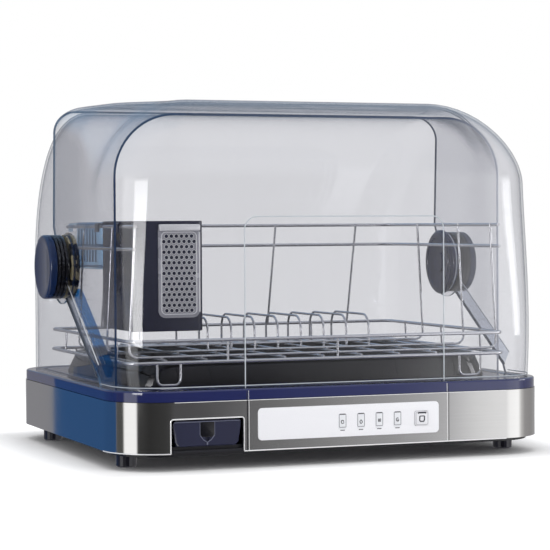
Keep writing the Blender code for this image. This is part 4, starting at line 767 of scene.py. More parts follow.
NAVY = Moulded("glossy_navy", (0.013, 0.018, 0.085), 0.06, 260.0, 3e-6, 0.06, 0.6, 1.6)
CAP_NAVY = Moulded("cap_navy", (0.008, 0.020, 0.068), 0.16, 200.0, 4e-6, 0.05, 0.1)
HUB_NAVY = Moulded("hub_navy", (0.013, 0.018, 0.062), 0.12, 200.0, 4e-6, 0.05, 0.3, 1.4)
BLACK = Moulded("glossy_black", (0.004, 0.004, 0.006), 0.07, 60.0, 4e-6, 0.1, 0.3)
RING_BLACK = Moulded("ring_black", (0.006, 0.006, 0.009), 0.14, 300.0, 4e-6, 0.1, 0.8, 1.7)
SATIN_BLACK = Moulded("satin_black", (0.012, 0.012, 0.017), 0.32, 900.0, 2e-5)
HOLDER_GREY = Moulded("holder_slate", (0.032, 0.034, 0.058), 0.22, 800.0, 1e-5, 0.05, 0.2)
SMOKE = Moulded("smoky_navy", (0.020, 0.022, 0.048), 0.12, 300.0, 6e-6, 0.1, 0.6, 1.7)
# Painted highlight: pale lines on the drawer front's grip and top edge.
SMOKE_HIGHLIGHT = Moulded("smoke_painted_highlight", (0.12, 0.13, 0.19), 0.2, 300.0, 4e-6, 0.1, 0.3)
GRIP = Moulded("grip_black", (0.004, 0.004, 0.007), 0.2, 300.0, 4e-6, 0.1)
WHITE = Moulded("panel_white", (0.80, 0.80, 0.83), 0.28, 1200.0, 6e-6, 0.015, 0.15)
LENS = Moulded("window_lens", (0.74, 0.75, 0.78), 0.12, 1200.0, 3e-6, 0.02, 0.3)
GREY = Moulded("button_grey", (0.74, 0.74, 0.77), 0.25, 1200.0, 5e-6, 0.02, 0.1)
INK = Moulded("print_ink", (0.025, 0.025, 0.033), 0.5, 1500.0, 2e-6, 0.1)
PALE_INK = Moulded("print_grey", (0.17, 0.17, 0.19), 0.5, 1500.0, 2e-6, 0.1)
RUBBER = Moulded("foot_rubber", (0.010, 0.010, 0.026), 0.35, 1500.0, 3e-5, 0.06, 0.2)
BOARD = Moulded("solder_mask", (0.02, 0.15, 0.06), 0.35, 900.0, 2e-5)
# Painted shade: dark line along the outer edge of the slanted bands.
BAND_EDGE_SHADE = Moulded("band_edge_painted_shade", (0.06, 0.07, 0.09), 0.16, 400.0, 4e-6, 0.2)
# Painted highlight: pale lines on the clear cover's foot and field edge, standing in for light caught by
# those edges.
EDGE_HIGHLIGHT = Moulded("painted_edge_highlight", (0.50, 0.54, 0.58), 0.14, 400.0, 4e-6, 0.1, 0.5)
CUP_RIB = Moulded("cup_rib", (0.10, 0.22, 0.38), 0.15, 400.0, 4e-6, 0.2, 0.3)
# Painted reflection: the covers' cut edges are coloured along X, blue-grey on the front cover's left and pale
# on the rear cover's right.
REAR_EDGE_PAINTED = PaintedReflectionEdge("rear_edge_painted_reflection", (0.020, 0.050, 0.13), (0.018, 0.038, 0.095), (0.42, 0.44, 0.50))
FRONT_EDGE_PAINTED = PaintedReflectionEdge("front_edge_painted_reflection", (0.12, 0.19, 0.28), (0.020, 0.042, 0.10), (0.020, 0.036, 0.085))
STEEL = Brushed("brushed_steel", (0.66, 0.655, 0.65), 0.10)
CHROME = Brushed("bright_wire", (0.86, 0.86, 0.88), 0.15, (60.0, 60.0, 60.0), 2e-6, 0.75)
# Painted highlight: pale metal for thin lines that stand in for light caught along edges, seams and hole
# rims.
PAINTED_HIGHLIGHT = Brushed("painted_highlight_metal", (0.92, 0.92, 0.93), 0.18, (60.0, 60.0, 60.0), 2e-6, 0.35)
PLATE = Brushed("plate_steel", (0.46, 0.46, 0.50), 0.24, (50.0, 50.0, 900.0), 4e-6, 0.35)
CLEAR = Clear("clear_plastic", (0.926, 0.927, 0.938), (0.46, 0.49, 0.54))
BAND_CLEAR = Clear("slanted_band", (0.84, 0.86, 0.90), (0.42, 0.46, 0.54))
BRACE_BLUE = Clear("brace_blue", (0.12, 0.46, 0.74), (0.10, 0.30, 0.54), 0.05, 0.3)
CUP_CLEAR = Clear("cup_blue_clear", (0.74, 0.85, 0.93), (0.30, 0.48, 0.66))
BRONZE = Mottled("mottled_bronze", (0.80, 0.68, 0.40), (0.012, 0.012, 0.020))


# Sub-assemblies.


@dataclass
class Covers:
    """The fixed rear cover and the front cover that swings back over it.

    Points of their side view are (y, z). Shoulder radii run from the rear cover's mouth, or from
    the front cover's rear edge, along the roof and down to the foot.
    """

    wall: float = 2.5
    seat: float = 83.3
    hub: Point2 = (33.0, 207.0)
    rear_half: float = 237.5
    rear_radius: float = 174.5
    rear_hole: float = 36.3
    rear_shoulders: Point3 = (68.0, 30.0, 50.0)
    mouth: Point2 = (-130.0, 373.0)
    mouth_half: float = 228.0
    taper_end_y: float = -20.0
    front_half: float = 242.0
    front_y: float = -207.0
    front_hole: float = 12.3
    front_shoulders: tuple[float, ...] = (28.0, 55.0, 100.0, 78.0, 51.0)
    brow_start_y: float = -40.0
    edge_y: float = 66.0
    edge_low_z: float = 252.0
    edge_radius: float = 180.5
    roof_z: float = 388.5
    roof_end_y: float = -112.0
    wall_top_z: float = 298.0
    bulge: float = 7.0
    bulge_start_y: float = -20.0
    bulge_reach: float = 110.0
    slant_foot_y: float = -118.0
    slant_low: Point2 = (-112.0, 92.0)
    slant_top: Point2 = (10.0, 172.0)
    ear_end: float = 52.0
    arc_steps: int = 16
    roof_steps: int = 18
    bend_steps: int = 36
    leg_steps: int = 14
    edge_steps: int = 8
    ear_steps: int = 39
    hole_steps: int = 48

    def skin(self, path: Array, widths: Array, shoulders: Array) -> tuple[Array, Array, Array, Array]:
        """Band along a path with round shoulders, outer and inner skin.

        A point is (side times (width - radius + radius sin a), centre + normal radius cos a),
        where centre is the path's point less its outward normal times the radius.

        Args:
            path: (y, z) points of the band's middle.
            widths: half width at each point.
            shoulders: shoulder radius at each point.

        Returns:
            Outer points, inner points, faces, and each path point's shoulder centre.
        """
        step = np.gradient(path, axis=0)
        normal = np.stack([-step[:, 1], step[:, 0]], axis=-1)
        normal /= np.linalg.norm(normal, axis=1)[:, None]
        flip = ((path - np.array(self.hub)) * normal).sum(1) < 0
        normal[flip] *= -1
        centre = path - normal * shoulders[:, None]
        angle = np.linspace(QUARTER, 0.0, self.arc_steps + 1)
        angle = np.concatenate([angle, angle[::-1]])
        side = np.repeat([-1.0, 1.0], self.arc_steps + 1)
        skins = []
        for offset in (0.0, self.wall):
            radius = (shoulders - offset)[:, None]
            x = side * (widths[:, None] - offset - radius + radius * np.sin(angle))
            place = centre[:, None] + normal[:, None] * (radius * np.cos(angle))[..., None]
            skins.append(np.concatenate([x[..., None], place], axis=-1))
        faces = grid_faces(len(path), len(angle))
        return skins[0].reshape(-1, 3), skins[1].reshape(-1, 3), faces, centre

    def side_walls(self, outline: Array, radius: float, half: float) -> Walls:
        """Both flat side walls with their hub holes.

        Args:
            outline: (y, z) outline of a wall.
            radius: radius of the hole about the hub.
            half: distance of the walls' outer faces from the middle.

        Returns:
            Outer points, inner points and triangles.
        """
        hole = circle(radius, self.hole_steps) + np.array(self.hub)
        outer, inner, faces, count = [], [], [], 0
        for side in (-1, 1):
            points, triangles = holed_plane(outline, hole, Axis.X, side * half)
            outer.append(points)
            inner.append(points - np.array([side * self.wall, 0.0, 0.0]))
            faces.append(triangles + count)
            count += len(points)
        return np.concatenate(outer), np.concatenate(inner), np.concatenate(faces)

    def shell(self, parts: list[Walls]) -> Piece:
        """Welds skins into one thick shell whose free edges have the second finish.

        Args:
            parts: outer points, inner points and faces of each skin.

        Returns:
            The piece, not built yet.
        """
        outer = np.concatenate([part[0] for part in parts])
        inner = np.concatenate([part[1] for part in parts])
        starts = np.cumsum([0] + [len(part[0]) for part in parts[:-1]])
        faces = [part[2] + start for part, start in zip(parts, starts)]
        points, made, skins = thick_shell(outer, inner, faces)
        piece = Piece().add(points, made)
        piece.tags[skins:] = [1] * (len(made) - skins)
        return piece

    def rear(self) -> None:
        """Fixed cover: roof line, quarter circle about the hub, then straight down to the seat.

        Its mouth is narrower: there the half width follows a smooth step, and the walls are ruled
        from the shoulders' centres down to the seat. Behind it the walls are flat.
        """
        hub = np.array(self.hub)
        share = np.linspace(0.0, 1.0, self.roof_steps, endpoint=False)
        roof = np.array(self.mouth) + share[:, None] * (hub + [0.0, self.rear_radius] - self.mouth)
        angle = np.linspace(QUARTER, 0.0, self.bend_steps + 1)
        arc = hub + self.rear_radius * np.stack([np.cos(angle), np.sin(angle)], axis=-1)
        drop = np.linspace(hub[1], self.seat, self.leg_steps + 1)[1:]
        leg = np.stack([np.full(self.leg_steps, hub[0] + self.rear_radius), drop], axis=-1)
        path = np.concatenate([roof, arc, leg])
        taper = (path[:, 0] - self.mouth[0]) / (self.taper_end_y - self.mouth[0])
        widths = ease(self.mouth_half, self.rear_half, taper)
        at_mouth, at_hub, at_leg = self.rear_shoulders
        shoulders = np.concatenate([
            ease(at_mouth, at_hub, share),
            ease(at_hub, at_leg, np.linspace(0.0, 1.0, self.bend_steps + 1)),
            np.full(self.leg_steps, at_leg),
        ])
        *skin, centre = self.skin(path, widths, shoulders)
        parts = [tuple(skin)]
        flat = int(np.argmax(path[:, 0] >= self.taper_end_y))
        down = np.linspace(0.0, 1.0, self.leg_steps + 1)
        wall_y = np.broadcast_to(centre[: flat + 1, :1], (flat + 1, len(down)))
        wall_z = centre[: flat + 1, 1:] + down * (self.seat - centre[: flat + 1, 1:])
        for side in (-1, 1):
            walls = []
            for offset in (0.0, self.wall):
                x = np.broadcast_to(side * (widths[: flat + 1, None] - offset), wall_y.shape)
                walls.append(np.stack([x, wall_y, wall_z], axis=-1).reshape(-1, 3))
            parts.append((walls[0], walls[1], grid_faces(flat + 1, len(down))))
        seam = np.column_stack([wall_y[flat, 1:], wall_z[flat, 1:]])
        outline = np.concatenate([seam[::-1], centre[flat:]])
        parts.append(self.side_walls(outline, self.rear_hole, self.rear_half))
        self.shell(parts).build(
            "rear_cover_shell", Body.BASE, "clear_plastic", CLEAR, REAR_EDGE_PAINTED, nodes=("rear_cover",)
        )

    def front_path(self) -> tuple[Array, Array]:
        """Middle line of the front cover: arc about the hub, roof, elliptical brow and front wall.

        Returns:
            The line's points from the rear edge to the foot, and its shoulder radii.
        """
        hub = np.array(self.hub)
        back = np.linspace(self.edge_y, hub[0], self.edge_steps + 1)
        back = np.stack([back, hub[1] + np.sqrt(self.edge_radius**2 - (back - hub[0]) ** 2)], axis=-1)
        share = np.linspace(0.0, 1.0, self.roof_steps + 1)[1:-1, None]
        roof = back[-1] + share * (np.array([self.roof_end_y, self.roof_z]) - back[-1])
        angle = np.linspace(0.0, QUARTER, self.bend_steps + 1)
        brow = np.stack([
            self.roof_end_y + (self.front_y - self.roof_end_y) * np.sin(angle),
            self.wall_top_z + (self.roof_z - self.wall_top_z) * np.cos(angle),
        ], axis=-1)
        drop = np.linspace(self.wall_top_z, self.seat, self.leg_steps + 1)[1:]
        leg = np.stack([np.full(self.leg_steps, self.front_y), drop], axis=-1)
        flat = np.concatenate([back, roof])[:, 0]
        at_edge, at_roof, at_brow, at_wall, at_foot = self.front_shoulders
        along = (self.edge_y - flat) / (self.edge_y - self.roof_end_y)
        near_brow = (self.brow_start_y - flat) / (self.brow_start_y - self.roof_end_y)
        shoulders = np.concatenate([
            ease(at_edge, at_roof, along) + ease(0.0, at_brow - at_roof, near_brow),
            ease(at_brow, at_wall, np.linspace(0.0, 1.0, self.bend_steps + 1)),
            ease(at_wall, at_foot, np.linspace(0.0, 1.0, self.leg_steps + 1)[1:]),
        ])
        return np.concatenate([back, roof, brow, leg]), shoulders

    def bulged(self, points: Array) -> Array:
        """Pushes points sideways, more towards the front and the middle of the height.

        X grows by bulge times x over the half width, times a sine over the height, times a smooth
        step forwards.

        Args:
            points: points of the front cover.

        Returns:
            The moved points.
        """
        share = np.clip((points[..., 2] - self.seat) / (self.roof_z - self.seat), 0.0, 1.0)
        forward = smooth_step((self.bulge_start_y - points[..., 1]) / self.bulge_reach)
        moved = points.copy()
        moved[..., 0] *= 1 + self.bulge * np.sin(np.pi * share) * forward / self.front_half
        return moved

    def front_edge(self) -> Array:
        """Free edge of the side wall: foot, slanted edge, round the hub, then to the rear edge."""
        away = np.array(self.slant_top) - np.array(self.hub)
        radius = np.hypot(away[1], away[0])
        angle = np.linspace(np.arctan2(away[1], away[0]), np.radians(self.ear_end), self.ear_steps + 1)
        ear = np.array(self.hub) + radius * np.stack([np.cos(angle), np.sin(angle)], axis=-1)
        low = [(self.slant_foot_y, self.seat), self.slant_low]
        return np.concatenate([low, ear, [(self.edge_y, self.edge_low_z)]])

    def front(self) -> None:
        """Swinging cover with its flat side walls and hub holes."""
        path, shoulders = self.front_path()
        *skin, centre = self.skin(path, np.full(len(path), self.front_half), shoulders)
        outline = np.concatenate([centre, self.front_edge()])
        walls = self.side_walls(outline, self.front_hole, self.front_half)
        parts = [(self.bulged(outer), self.bulged(inner), faces) for outer, inner, faces in (skin, walls)]
        self.shell(parts).build(
            "front_cover_shell", Body.COVER, "clear_plastic", CLEAR, FRONT_EDGE_PAINTED, nodes=("front_cover",)
        )

    def build(self) -> None:
        """Builds both covers."""
        self.rear()
        self.front()


@dataclass
class CoverTrims:
    """Bands, rib and painted highlight lines on the two covers."""

    covers: Covers
    sides: int = 8
    band_width: float = 17.0
    band_x: float = 242.6
    band_inset_of: float = 9.0
    brace_width: float = 13.0
    brace_back: float = 6.0
    brace_inset_of: float = 7.0
    proud: float = 0.1
    line_end_y: float = -122.0
    line_lift: float = 2.6
    line_radius: float = 0.55
    field_low_x: float = -110.5
    field_high_x: float = 119.4
    field_top: float = 262.0
    field_bend: float = 14.0
    field_radius: float = 0.65

    BAND_LAYERS = ((0.0, 242.02), (0.0, 242.5), (0.5, 242.75), (1.0, 242.8))
    BAND_EDGES = (((0, 1), 1, 0.75), ((3, 2), 2, 0.6))
    BRACE_LAYERS = ((0.0, -234.8), (0.0, -228.6), (0.8, -227.6))

    def slant(self, width: float) -> Array:
        """Corners of a strip along the slanted edge.

        Args:
            width: width of the strip.

        Returns:
            Its (y, z) corners, the two on the edge first.
        """
        low, top = np.array(self.covers.slant_low), np.array(self.covers.slant_top)
        along = (top - low) / np.linalg.norm(top - low)
        inward = np.array([-along[1], along[0]]) * width
        return np.array([low, top, top + inward, low + inward])

    def slanted_bands(self) -> None:
        """Raised band along the slanted edge of each side wall, with a painted shade line and a painted
        highlight line along its long edges.
        """
        outline = self.slant(self.band_width)
        finishes = BAND_CLEAR, BAND_EDGE_SHADE, PAINTED_HIGHLIGHT
        for side, word in ((-1, "left"), (1, "right")):
            layers = [(inset, side * x) for inset, x in self.BAND_LAYERS]
            points, faces = loft(strip_rings(outline, layers, self.band_inset_of))
            piece = Piece().add(self.covers.bulged(points), faces)
            for corners, tag, radius in self.BAND_EDGES:
                line = np.insert(outline[list(corners)], 0, side * self.band_x, axis=1)
                piece.add(*wire_skin(self.covers.bulged(line), radius, self.sides), tag)
            piece.build(f"slanted_band_{word}", Body.COVER, "clear_plastic", *finishes)

    def brace(self) -> None:
        """Blue rib inside the fixed cover's left wall, behind the slanted band."""
        outline = self.slant(self.brace_width) - np.array([self.brace_back, 0.0])
        piece = Piece().add(*loft(strip_rings(outline, self.BRACE_LAYERS, self.brace_inset_of)))
        piece.build("inner_brace_left", Body.BASE, "clear_plastic", BRACE_BLUE)

    def foot_line(self) -> None:
        """Painted highlight line along the swinging cover's foot: its front, both corners and part of its
        sides.
        """
        radius = self.covers.front_shoulders[-1]
        half, reach = self.covers.front_half + self.proud, self.proud - self.covers.front_y
        outline, _ = rounded_outline(half, reach, radius, 16)
        front = outline[outline[:, 1] < self.covers.front_y + radius + 1.0]
        bearing = np.arctan2(front[:, 0], -front[:, 1] - reach / 2)
        ends = np.array([[-half, self.line_end_y], [half, self.line_end_y]])
        path = np.concatenate([ends[:1], front[np.argsort(bearing)], ends[1:]])
        path = level(path, self.covers.seat + self.line_lift)
        piece = Piece().add(*wire_skin(path, self.line_radius, self.sides))
        piece.build("front_foot_line", Body.COVER, "clear_plastic", EDGE_HIGHLIGHT)

    def field_edge(self) -> None:
        """Raised line round the front wall's field, above the fascia, coloured as a painted highlight."""
        left, right, seat, top = self.field_low_x, self.field_high_x, self.covers.seat, self.field_top
        corners = [(left, 0, seat), (left, 0, top), (right, 0, top), (right, 0, seat)]
        path = bent_path(corners, self.field_bend, 12)
        path += np.array([0.0, self.covers.front_y - self.proud / 2, 0.0])
        piece = Piece().add(*wire_skin(path, self.field_radius, 10))
        piece.build("front_field_edge", Body.COVER, "clear_plastic", EDGE_HIGHLIGHT)

    def build(self) -> None:
        """Builds what the covers carry."""
        self.slanted_bands()
        self.brace()
        self.foot_line()
        self.field_edge()


@dataclass
class HubSet:
    """Bush, ridged ring and cap on each side, turned about the hub's axis.

    The profiles are (distance from the middle, radius) pairs.
    """

    centre: Point2 = (33.0, 207.0)
    steps: int = 144
    ridge_count: int = 36
    bore: float = 12.3
    radius: float = 36.0
    groove: float = 33.2
    flank: float = 35.2
    ring_start: float = 242.3
    ring_end: float = 255.0
    cap_edge: float = 2.8
    cap_edge_x: float = 261.0
    mottled_from: float = 230.0

    BUSH = (
        (231.0, 12.3), (230.6, 16.0), (229.6, 22.0), (229.0, 27.0), (229.9, 27.8), (229.9, 29.6),
        (229.0, 30.4), (229.1, 33.0), (229.7, 35.6), (230.6, 37.4), (231.8, 38.5), (234.1, 38.5),
        (234.7, 37.9), (234.7, 36.0), (239.2, 36.0), (239.2, 12.3),
    )
    LANDS = ((242.7, 3.2), (246.6, 3.6), (250.9, 3.7))
    LAND_VALLEYS = (0.25, 0.45, 0.45, 0.25, 0.0)

    def ring(self) -> tuple[Array, Array]:
        """Grip ring with three ridged lands, each between two grooves.

        Returns:
            Its profile, and the depth of the valleys at each profile point.
        """
        profile = [(self.ring_start, self.bore), (self.ring_start, 35.4)]
        for start, width in self.LANDS:
            end = start + width
            profile += [(start, self.flank), (start + 0.5, self.radius), (end - 0.5, self.radius)]
            profile += [(end, self.flank), (end + 0.15, self.groove)]
        profile += [(self.ring_end, self.groove), (self.ring_end, self.bore)]
        ends = (0.0, 0.0)
        return np.array(profile), np.array(ends + self.LAND_VALLEYS * len(self.LANDS) + ends)

    def cap(self) -> Array:
        """Profile of the cap: flat back, quarter round edge, and a shallow hollow in its face."""
        angle = np.linspace(0.0, QUARTER, 7)
        out, up = self.cap_edge * np.sin(angle), self.cap_edge * np.cos(angle)
        edge = np.column_stack([self.cap_edge_x + out, self.groove + up])
        back = [(255.3, 0.0), (255.3, 35.6), (255.7, self.radius)]
        return np.concatenate([back, edge, [(263.8, 29.0), (263.5, 28.2), (263.4, 0.0)]])

    def build(self) -> None:
        """Builds the three turned pieces of each side; the left bush is mottled but for its inner face, which
        is navy like the whole right bush.
        """
        ring, valleys = self.ring()
        pieces = (
            ("bush_turned", np.array(self.BUSH), None, BRONZE, Body.BASE, "bush_bronze", "pivot_bush"),
            ("grip_ring", ring, valleys, RING_BLACK, Body.COVER, "dark_plastic", "ridged_ring"),
            ("domed_cap", self.cap(), None, CAP_NAVY, Body.COVER, "navy_plastic", "hub_cap"),
        )
        for side, word in ((-1, "left"), (1, "right")):
            for name, profile, depths, finish, body, slot, node in pieces:
                rings = turned(profile, Axis.X, self.centre, self.steps, depths, self.ridge_count)
                points = rings * np.array([side, 1.0, 1.0])
                faces = grid_faces(len(profile), self.steps, name != "domed_cap", True)
                piece = Piece().add(points, faces)
                finishes = [finish]
                if finish is BRONZE:
                    farthest = np.abs(points.reshape(-1, 3)[:, 0])[faces].max(1)
                    plain = farthest < self.mottled_from if side < 0 else np.ones(len(faces), bool)
                    piece.tags = plain.astype(int).tolist()
                    finishes.append(HUB_NAVY)
                piece.build(f"{name}_{word}", body, slot, *finishes, nodes=(f"{node}_{word}",))


@dataclass
class BaseShell:
    """Steel band, rim and deck, and the painted highlight trim round the drawer's notch."""

    half_x: float = 250.0
    half_y: float = 215.0
    corner: float = 59.0
    corner_steps: int = 24
    bottom: float = 18.5
    top: float = 71.3
    sheet: float = 1.2
    notch: Point2 = (-195.4, -115.0)
    notch_top: float = 54.0
    notch_bend: float = 3.0
    seams: Point2 = (-111.1, 120.0)
    proud: float = 0.05
    notch_highlight: float = 0.7
    foot_highlight: float = 0.6
    top_highlight: float = 0.32
    deck: Point2 = (80.0, 83.0)
    deck_inset: float = 27.0
    rim_seat: float = 71.6
    rim_inset: float = 0.8
    lip: float = 4.5
    rim_edge: float = 2.0
    grille_half: Point2 = (110.3, 12.3)
    grille_y: float = 170.0
    grille_corner: float = 5.0

    SEAM_LINES = (
        (SATIN_BLACK, -111.5, 0.55), (PAINTED_HIGHLIGHT, -109.6, 0.35), (PAINTED_HIGHLIGHT, 119.6, 0.5), (SATIN_BLACK, 121.2, 0.35)
    )
    GUTTER = ((-20.0, 83.0), (-20.6, 82.6), (-20.9, 81.8), (-25.1, 81.8), (-25.4, 82.6), (-26.0, 83.0))

    @property
    def straight(self) -> float:
        """Distance from the middle to the end of the front's straight part."""
        return self.half_x - self.corner

    def corner_arc(self, quarter: int, extra: tuple[float, ...] = ()) -> tuple[Array, Array]:
        """One corner of the base: its centre plus the radius times (cos a, sin a).

        Args:
            quarter: quarter turn that it starts at, from 0 at +X.
            extra: further places in quarter turns.

        Returns:
            Its points and their outward normals.
        """
        turns = np.linspace(quarter, quarter + 1, self.corner_steps + 1)
        angle = np.sort(np.concatenate([turns, extra])) * QUARTER
        side = ((1, 1), (-1, 1), (-1, -1), (1, -1))[quarter]
        normal = np.stack([np.cos(angle), np.sin(angle)], axis=-1)
        centre = np.array([side[0] * self.straight, side[1] * (self.half_y - self.corner)])
        return centre + self.corner * normal, normal

    def band(self) -> None:
        """Sheet carried round the base from seam to seam, open over the drawer.

        The drawer's notch starts in the left corner's arc, so the arc has a point there.
        """
        notch_turn = 3.0 - np.arcsin((-self.straight - self.notch[0]) / self.corner) / QUARTER
        ahead = (0.0, -1.0)
        parts = [(np.array([(self.seams[1], -self.half_y)]), np.array([ahead]))]
        parts += [self.corner_arc(quarter) for quarter in (3, 0, 1)]
        parts.append(self.corner_arc(2, (notch_turn,)))
        ends = np.array([(self.notch[1], -self.half_y), (self.seams[0], -self.half_y)])
        parts.append((ends, np.array([ahead] * 2)))
        place = np.concatenate([part[0] for part in parts])
        normal = np.concatenate([part[1] for part in parts])
        heights = np.array([self.bottom, self.notch_top, self.top])
        skins = []
        for offset in (0.0, self.sheet):
            flat = np.broadcast_to((place - normal * offset)[:, None], (len(place), 3, 2))
            tall = np.broadcast_to(heights[None, :, None], (len(place), 3, 1))
            skins.append(np.concatenate([flat, tall], axis=-1).reshape(-1, 3))
        faces = grid_faces(len(place), 3)
        column, row = faces[:, 0] // 3, faces[:, 0] % 3
        front = place[:, 1] < -self.half_y + 1.0
        inside = (place[:, 0] > self.notch[0] - 0.01) & (place[:, 0] < self.notch[1] + 0.01) & front
        cut = inside[column] & inside[column + 1] & (row == 0)
        points, made, _ = thick_shell(skins[0], skins[1], [faces[~cut]])
        piece = Piece().add(points, made)
        piece.build("steel_band_sheet", Body.BASE, "brushed_steel", STEEL, nodes=("steel_band",))

    def bead(self) -> None:
        """Painted highlight: a bright bead round the drawer's notch and along the band's foot."""
        left, right = self.notch
        front, foot, top = -self.half_y - self.proud, self.bottom, self.notch_top
        corners = [(left, 0, foot), (left, 0, top), (right, 0, top), (right, 0, foot)]
        path = bent_path(corners, self.notch_bend, 8)
        path[:, 1] = front
        piece = Piece().add(*wire_skin(path, self.notch_highlight, 10))
        piece.add(*rod((right, front, foot), (self.straight, front, foot), self.foot_highlight))
        place, normal = self.corner_arc(2)
        beside = place[:, 0] < left - 0.5
        corner = level(place[beside] + self.proud * normal[beside], foot)
        piece.add(*wire_skin(np.concatenate([corner, [(left, front, foot)]]), self.foot_highlight, 8))
        piece.build("notch_highlight", Body.BASE, "brushed_steel", PAINTED_HIGHLIGHT)

    def seam_lines(self) -> None:
        """Painted highlight along the band's top, and lines at the fascia's seams, carried over the rim; the
        bright seam lines are painted highlights too.
        """
        front, rim = -self.half_y - self.proud, -self.half_y + self.rim_inset
        lines = {SATIN_BLACK: Piece(), PAINTED_HIGHLIGHT: Piece()}
        ends = [(x, front, self.top - 0.2) for x in (-self.straight, self.straight)]
        lines[PAINTED_HIGHLIGHT].add(*rod(*ends, self.top_highlight))
        for finish, x, radius in self.SEAM_LINES:
            lines[finish].add(*rod((x, front, self.bottom), (x, front, self.top), radius))
            over = [(x, rim, self.rim_seat + 0.2), (x, rim, self.deck[1] - self.rim_edge)]
            over.append((x, rim + self.rim_edge, self.deck[1]))
            lines[finish].add(*wire_skin(np.array(over), radius * 0.6, 8))
        for name, finish in (("seam_shadow", SATIN_BLACK), ("seam_light", PAINTED_HIGHLIGHT)):
            lines[finish].build(name, Body.BASE, "brushed_steel", finish)

    def rim(self) -> None:
        """Rim and deck in one moulding, with the gutter and the grille's opening.

        The profile is (distance out from the base's outline, height), carried along the outline.
        """
        low, high = self.deck
        angle = np.linspace(0.0, QUARTER, 7)
        out, up = self.rim_edge * np.cos(angle), self.rim_edge * np.sin(angle)
        shoulder = np.column_stack([out - self.rim_edge - self.rim_inset, high - self.rim_edge + up])
        under = [(-self.deck_inset, low), (-self.lip, low), (-self.lip, self.rim_seat)]
        under.append((-self.rim_inset, self.rim_seat))
        profile = np.concatenate([under, shoulder, self.GUTTER, [(-self.deck_inset, high)]])
        outline, normal = rounded_outline(self.half_x, self.half_y, self.corner, self.corner_steps)
        flat = outline[None] + normal[None] * profile[:, None, :1]
        tall = np.broadcast_to(profile[:, 1, None, None], (*flat.shape[:2], 1))
        piece = Piece().add(*loft(np.concatenate([flat, tall], axis=-1), False, False))
        opening, _ = rounded_outline(*self.grille_half, self.grille_corner, 6)
        opening += np.array([0.0, self.grille_y])
        for height in self.deck:
            piece.add(*holed_plane(outline - normal * self.deck_inset, opening, Axis.Z, height))
        piece.add(*loft(np.stack([level(opening, height) for height in self.deck]), False, False))
        piece.build("rim_and_deck", Body.BASE, "navy_plastic", NAVY, nodes=("rim_deck",))

    def build(self) -> None:
        """Builds the base's visible skins."""
        self.band()
        self.bead()
        self.seam_lines()
        self.rim()


@dataclass
class DrawerFront:
    """Finger grip of the water drawer and the pale painted highlight lines round it, as (x, z) points."""

    face: float = -214.15
    grip_back: float = -212.6
    line_y: float = -214.1
    top_line_y: float = -213.9
    grip: Corners = ((-163.6, 34.5), (-146.8, 50.6))
    grip_corner: float = 2.5
    grip_edge: float = 0.5

    VEE = ((-163.2, 36.5), (-159.6, 31.6), (-155.4, 29.2), (-151.2, 31.6), (-147.4, 36.5))
    STRAIGHTS = (
        ((-155.4, 29.2), (-155.4, 26.6), 0.8),
        ((-163.4, 37.0), (-163.4, 50.2), 0.3),
        ((-147.2, 37.0), (-147.2, 50.2), 0.3),
    )
    TOP_LINE = ((-191.0, 50.6), (-119.4, 50.6), 0.35)

    def build(self) -> None:
        """Builds the dark grip, its painted highlight outline with the small pull below it, and the painted
        highlight line along the top.
        """
        outline = front_outline(*self.grip, self.grip_corner, 6)
        piece = Piece().add(*slab(outline, self.face, self.grip_back, self.grip_edge))
        piece.build("drawer_grip", Body.DRAWER, "smoky_plastic", GRIP)
        lines = Piece().add(*wire_skin(np.array([(x, self.line_y, z) for x, z in self.VEE]), 0.42, 8))
        for y, straights in ((self.line_y, self.STRAIGHTS), (self.top_line_y, (self.TOP_LINE,))):
            for low, high, radius in straights:
                lines.add(*rod((low[0], y, low[1]), (high[0], y, high[1]), radius))
        lines.build("drawer_highlight_lines", Body.DRAWER, "smoky_plastic", SMOKE_HIGHLIGHT)


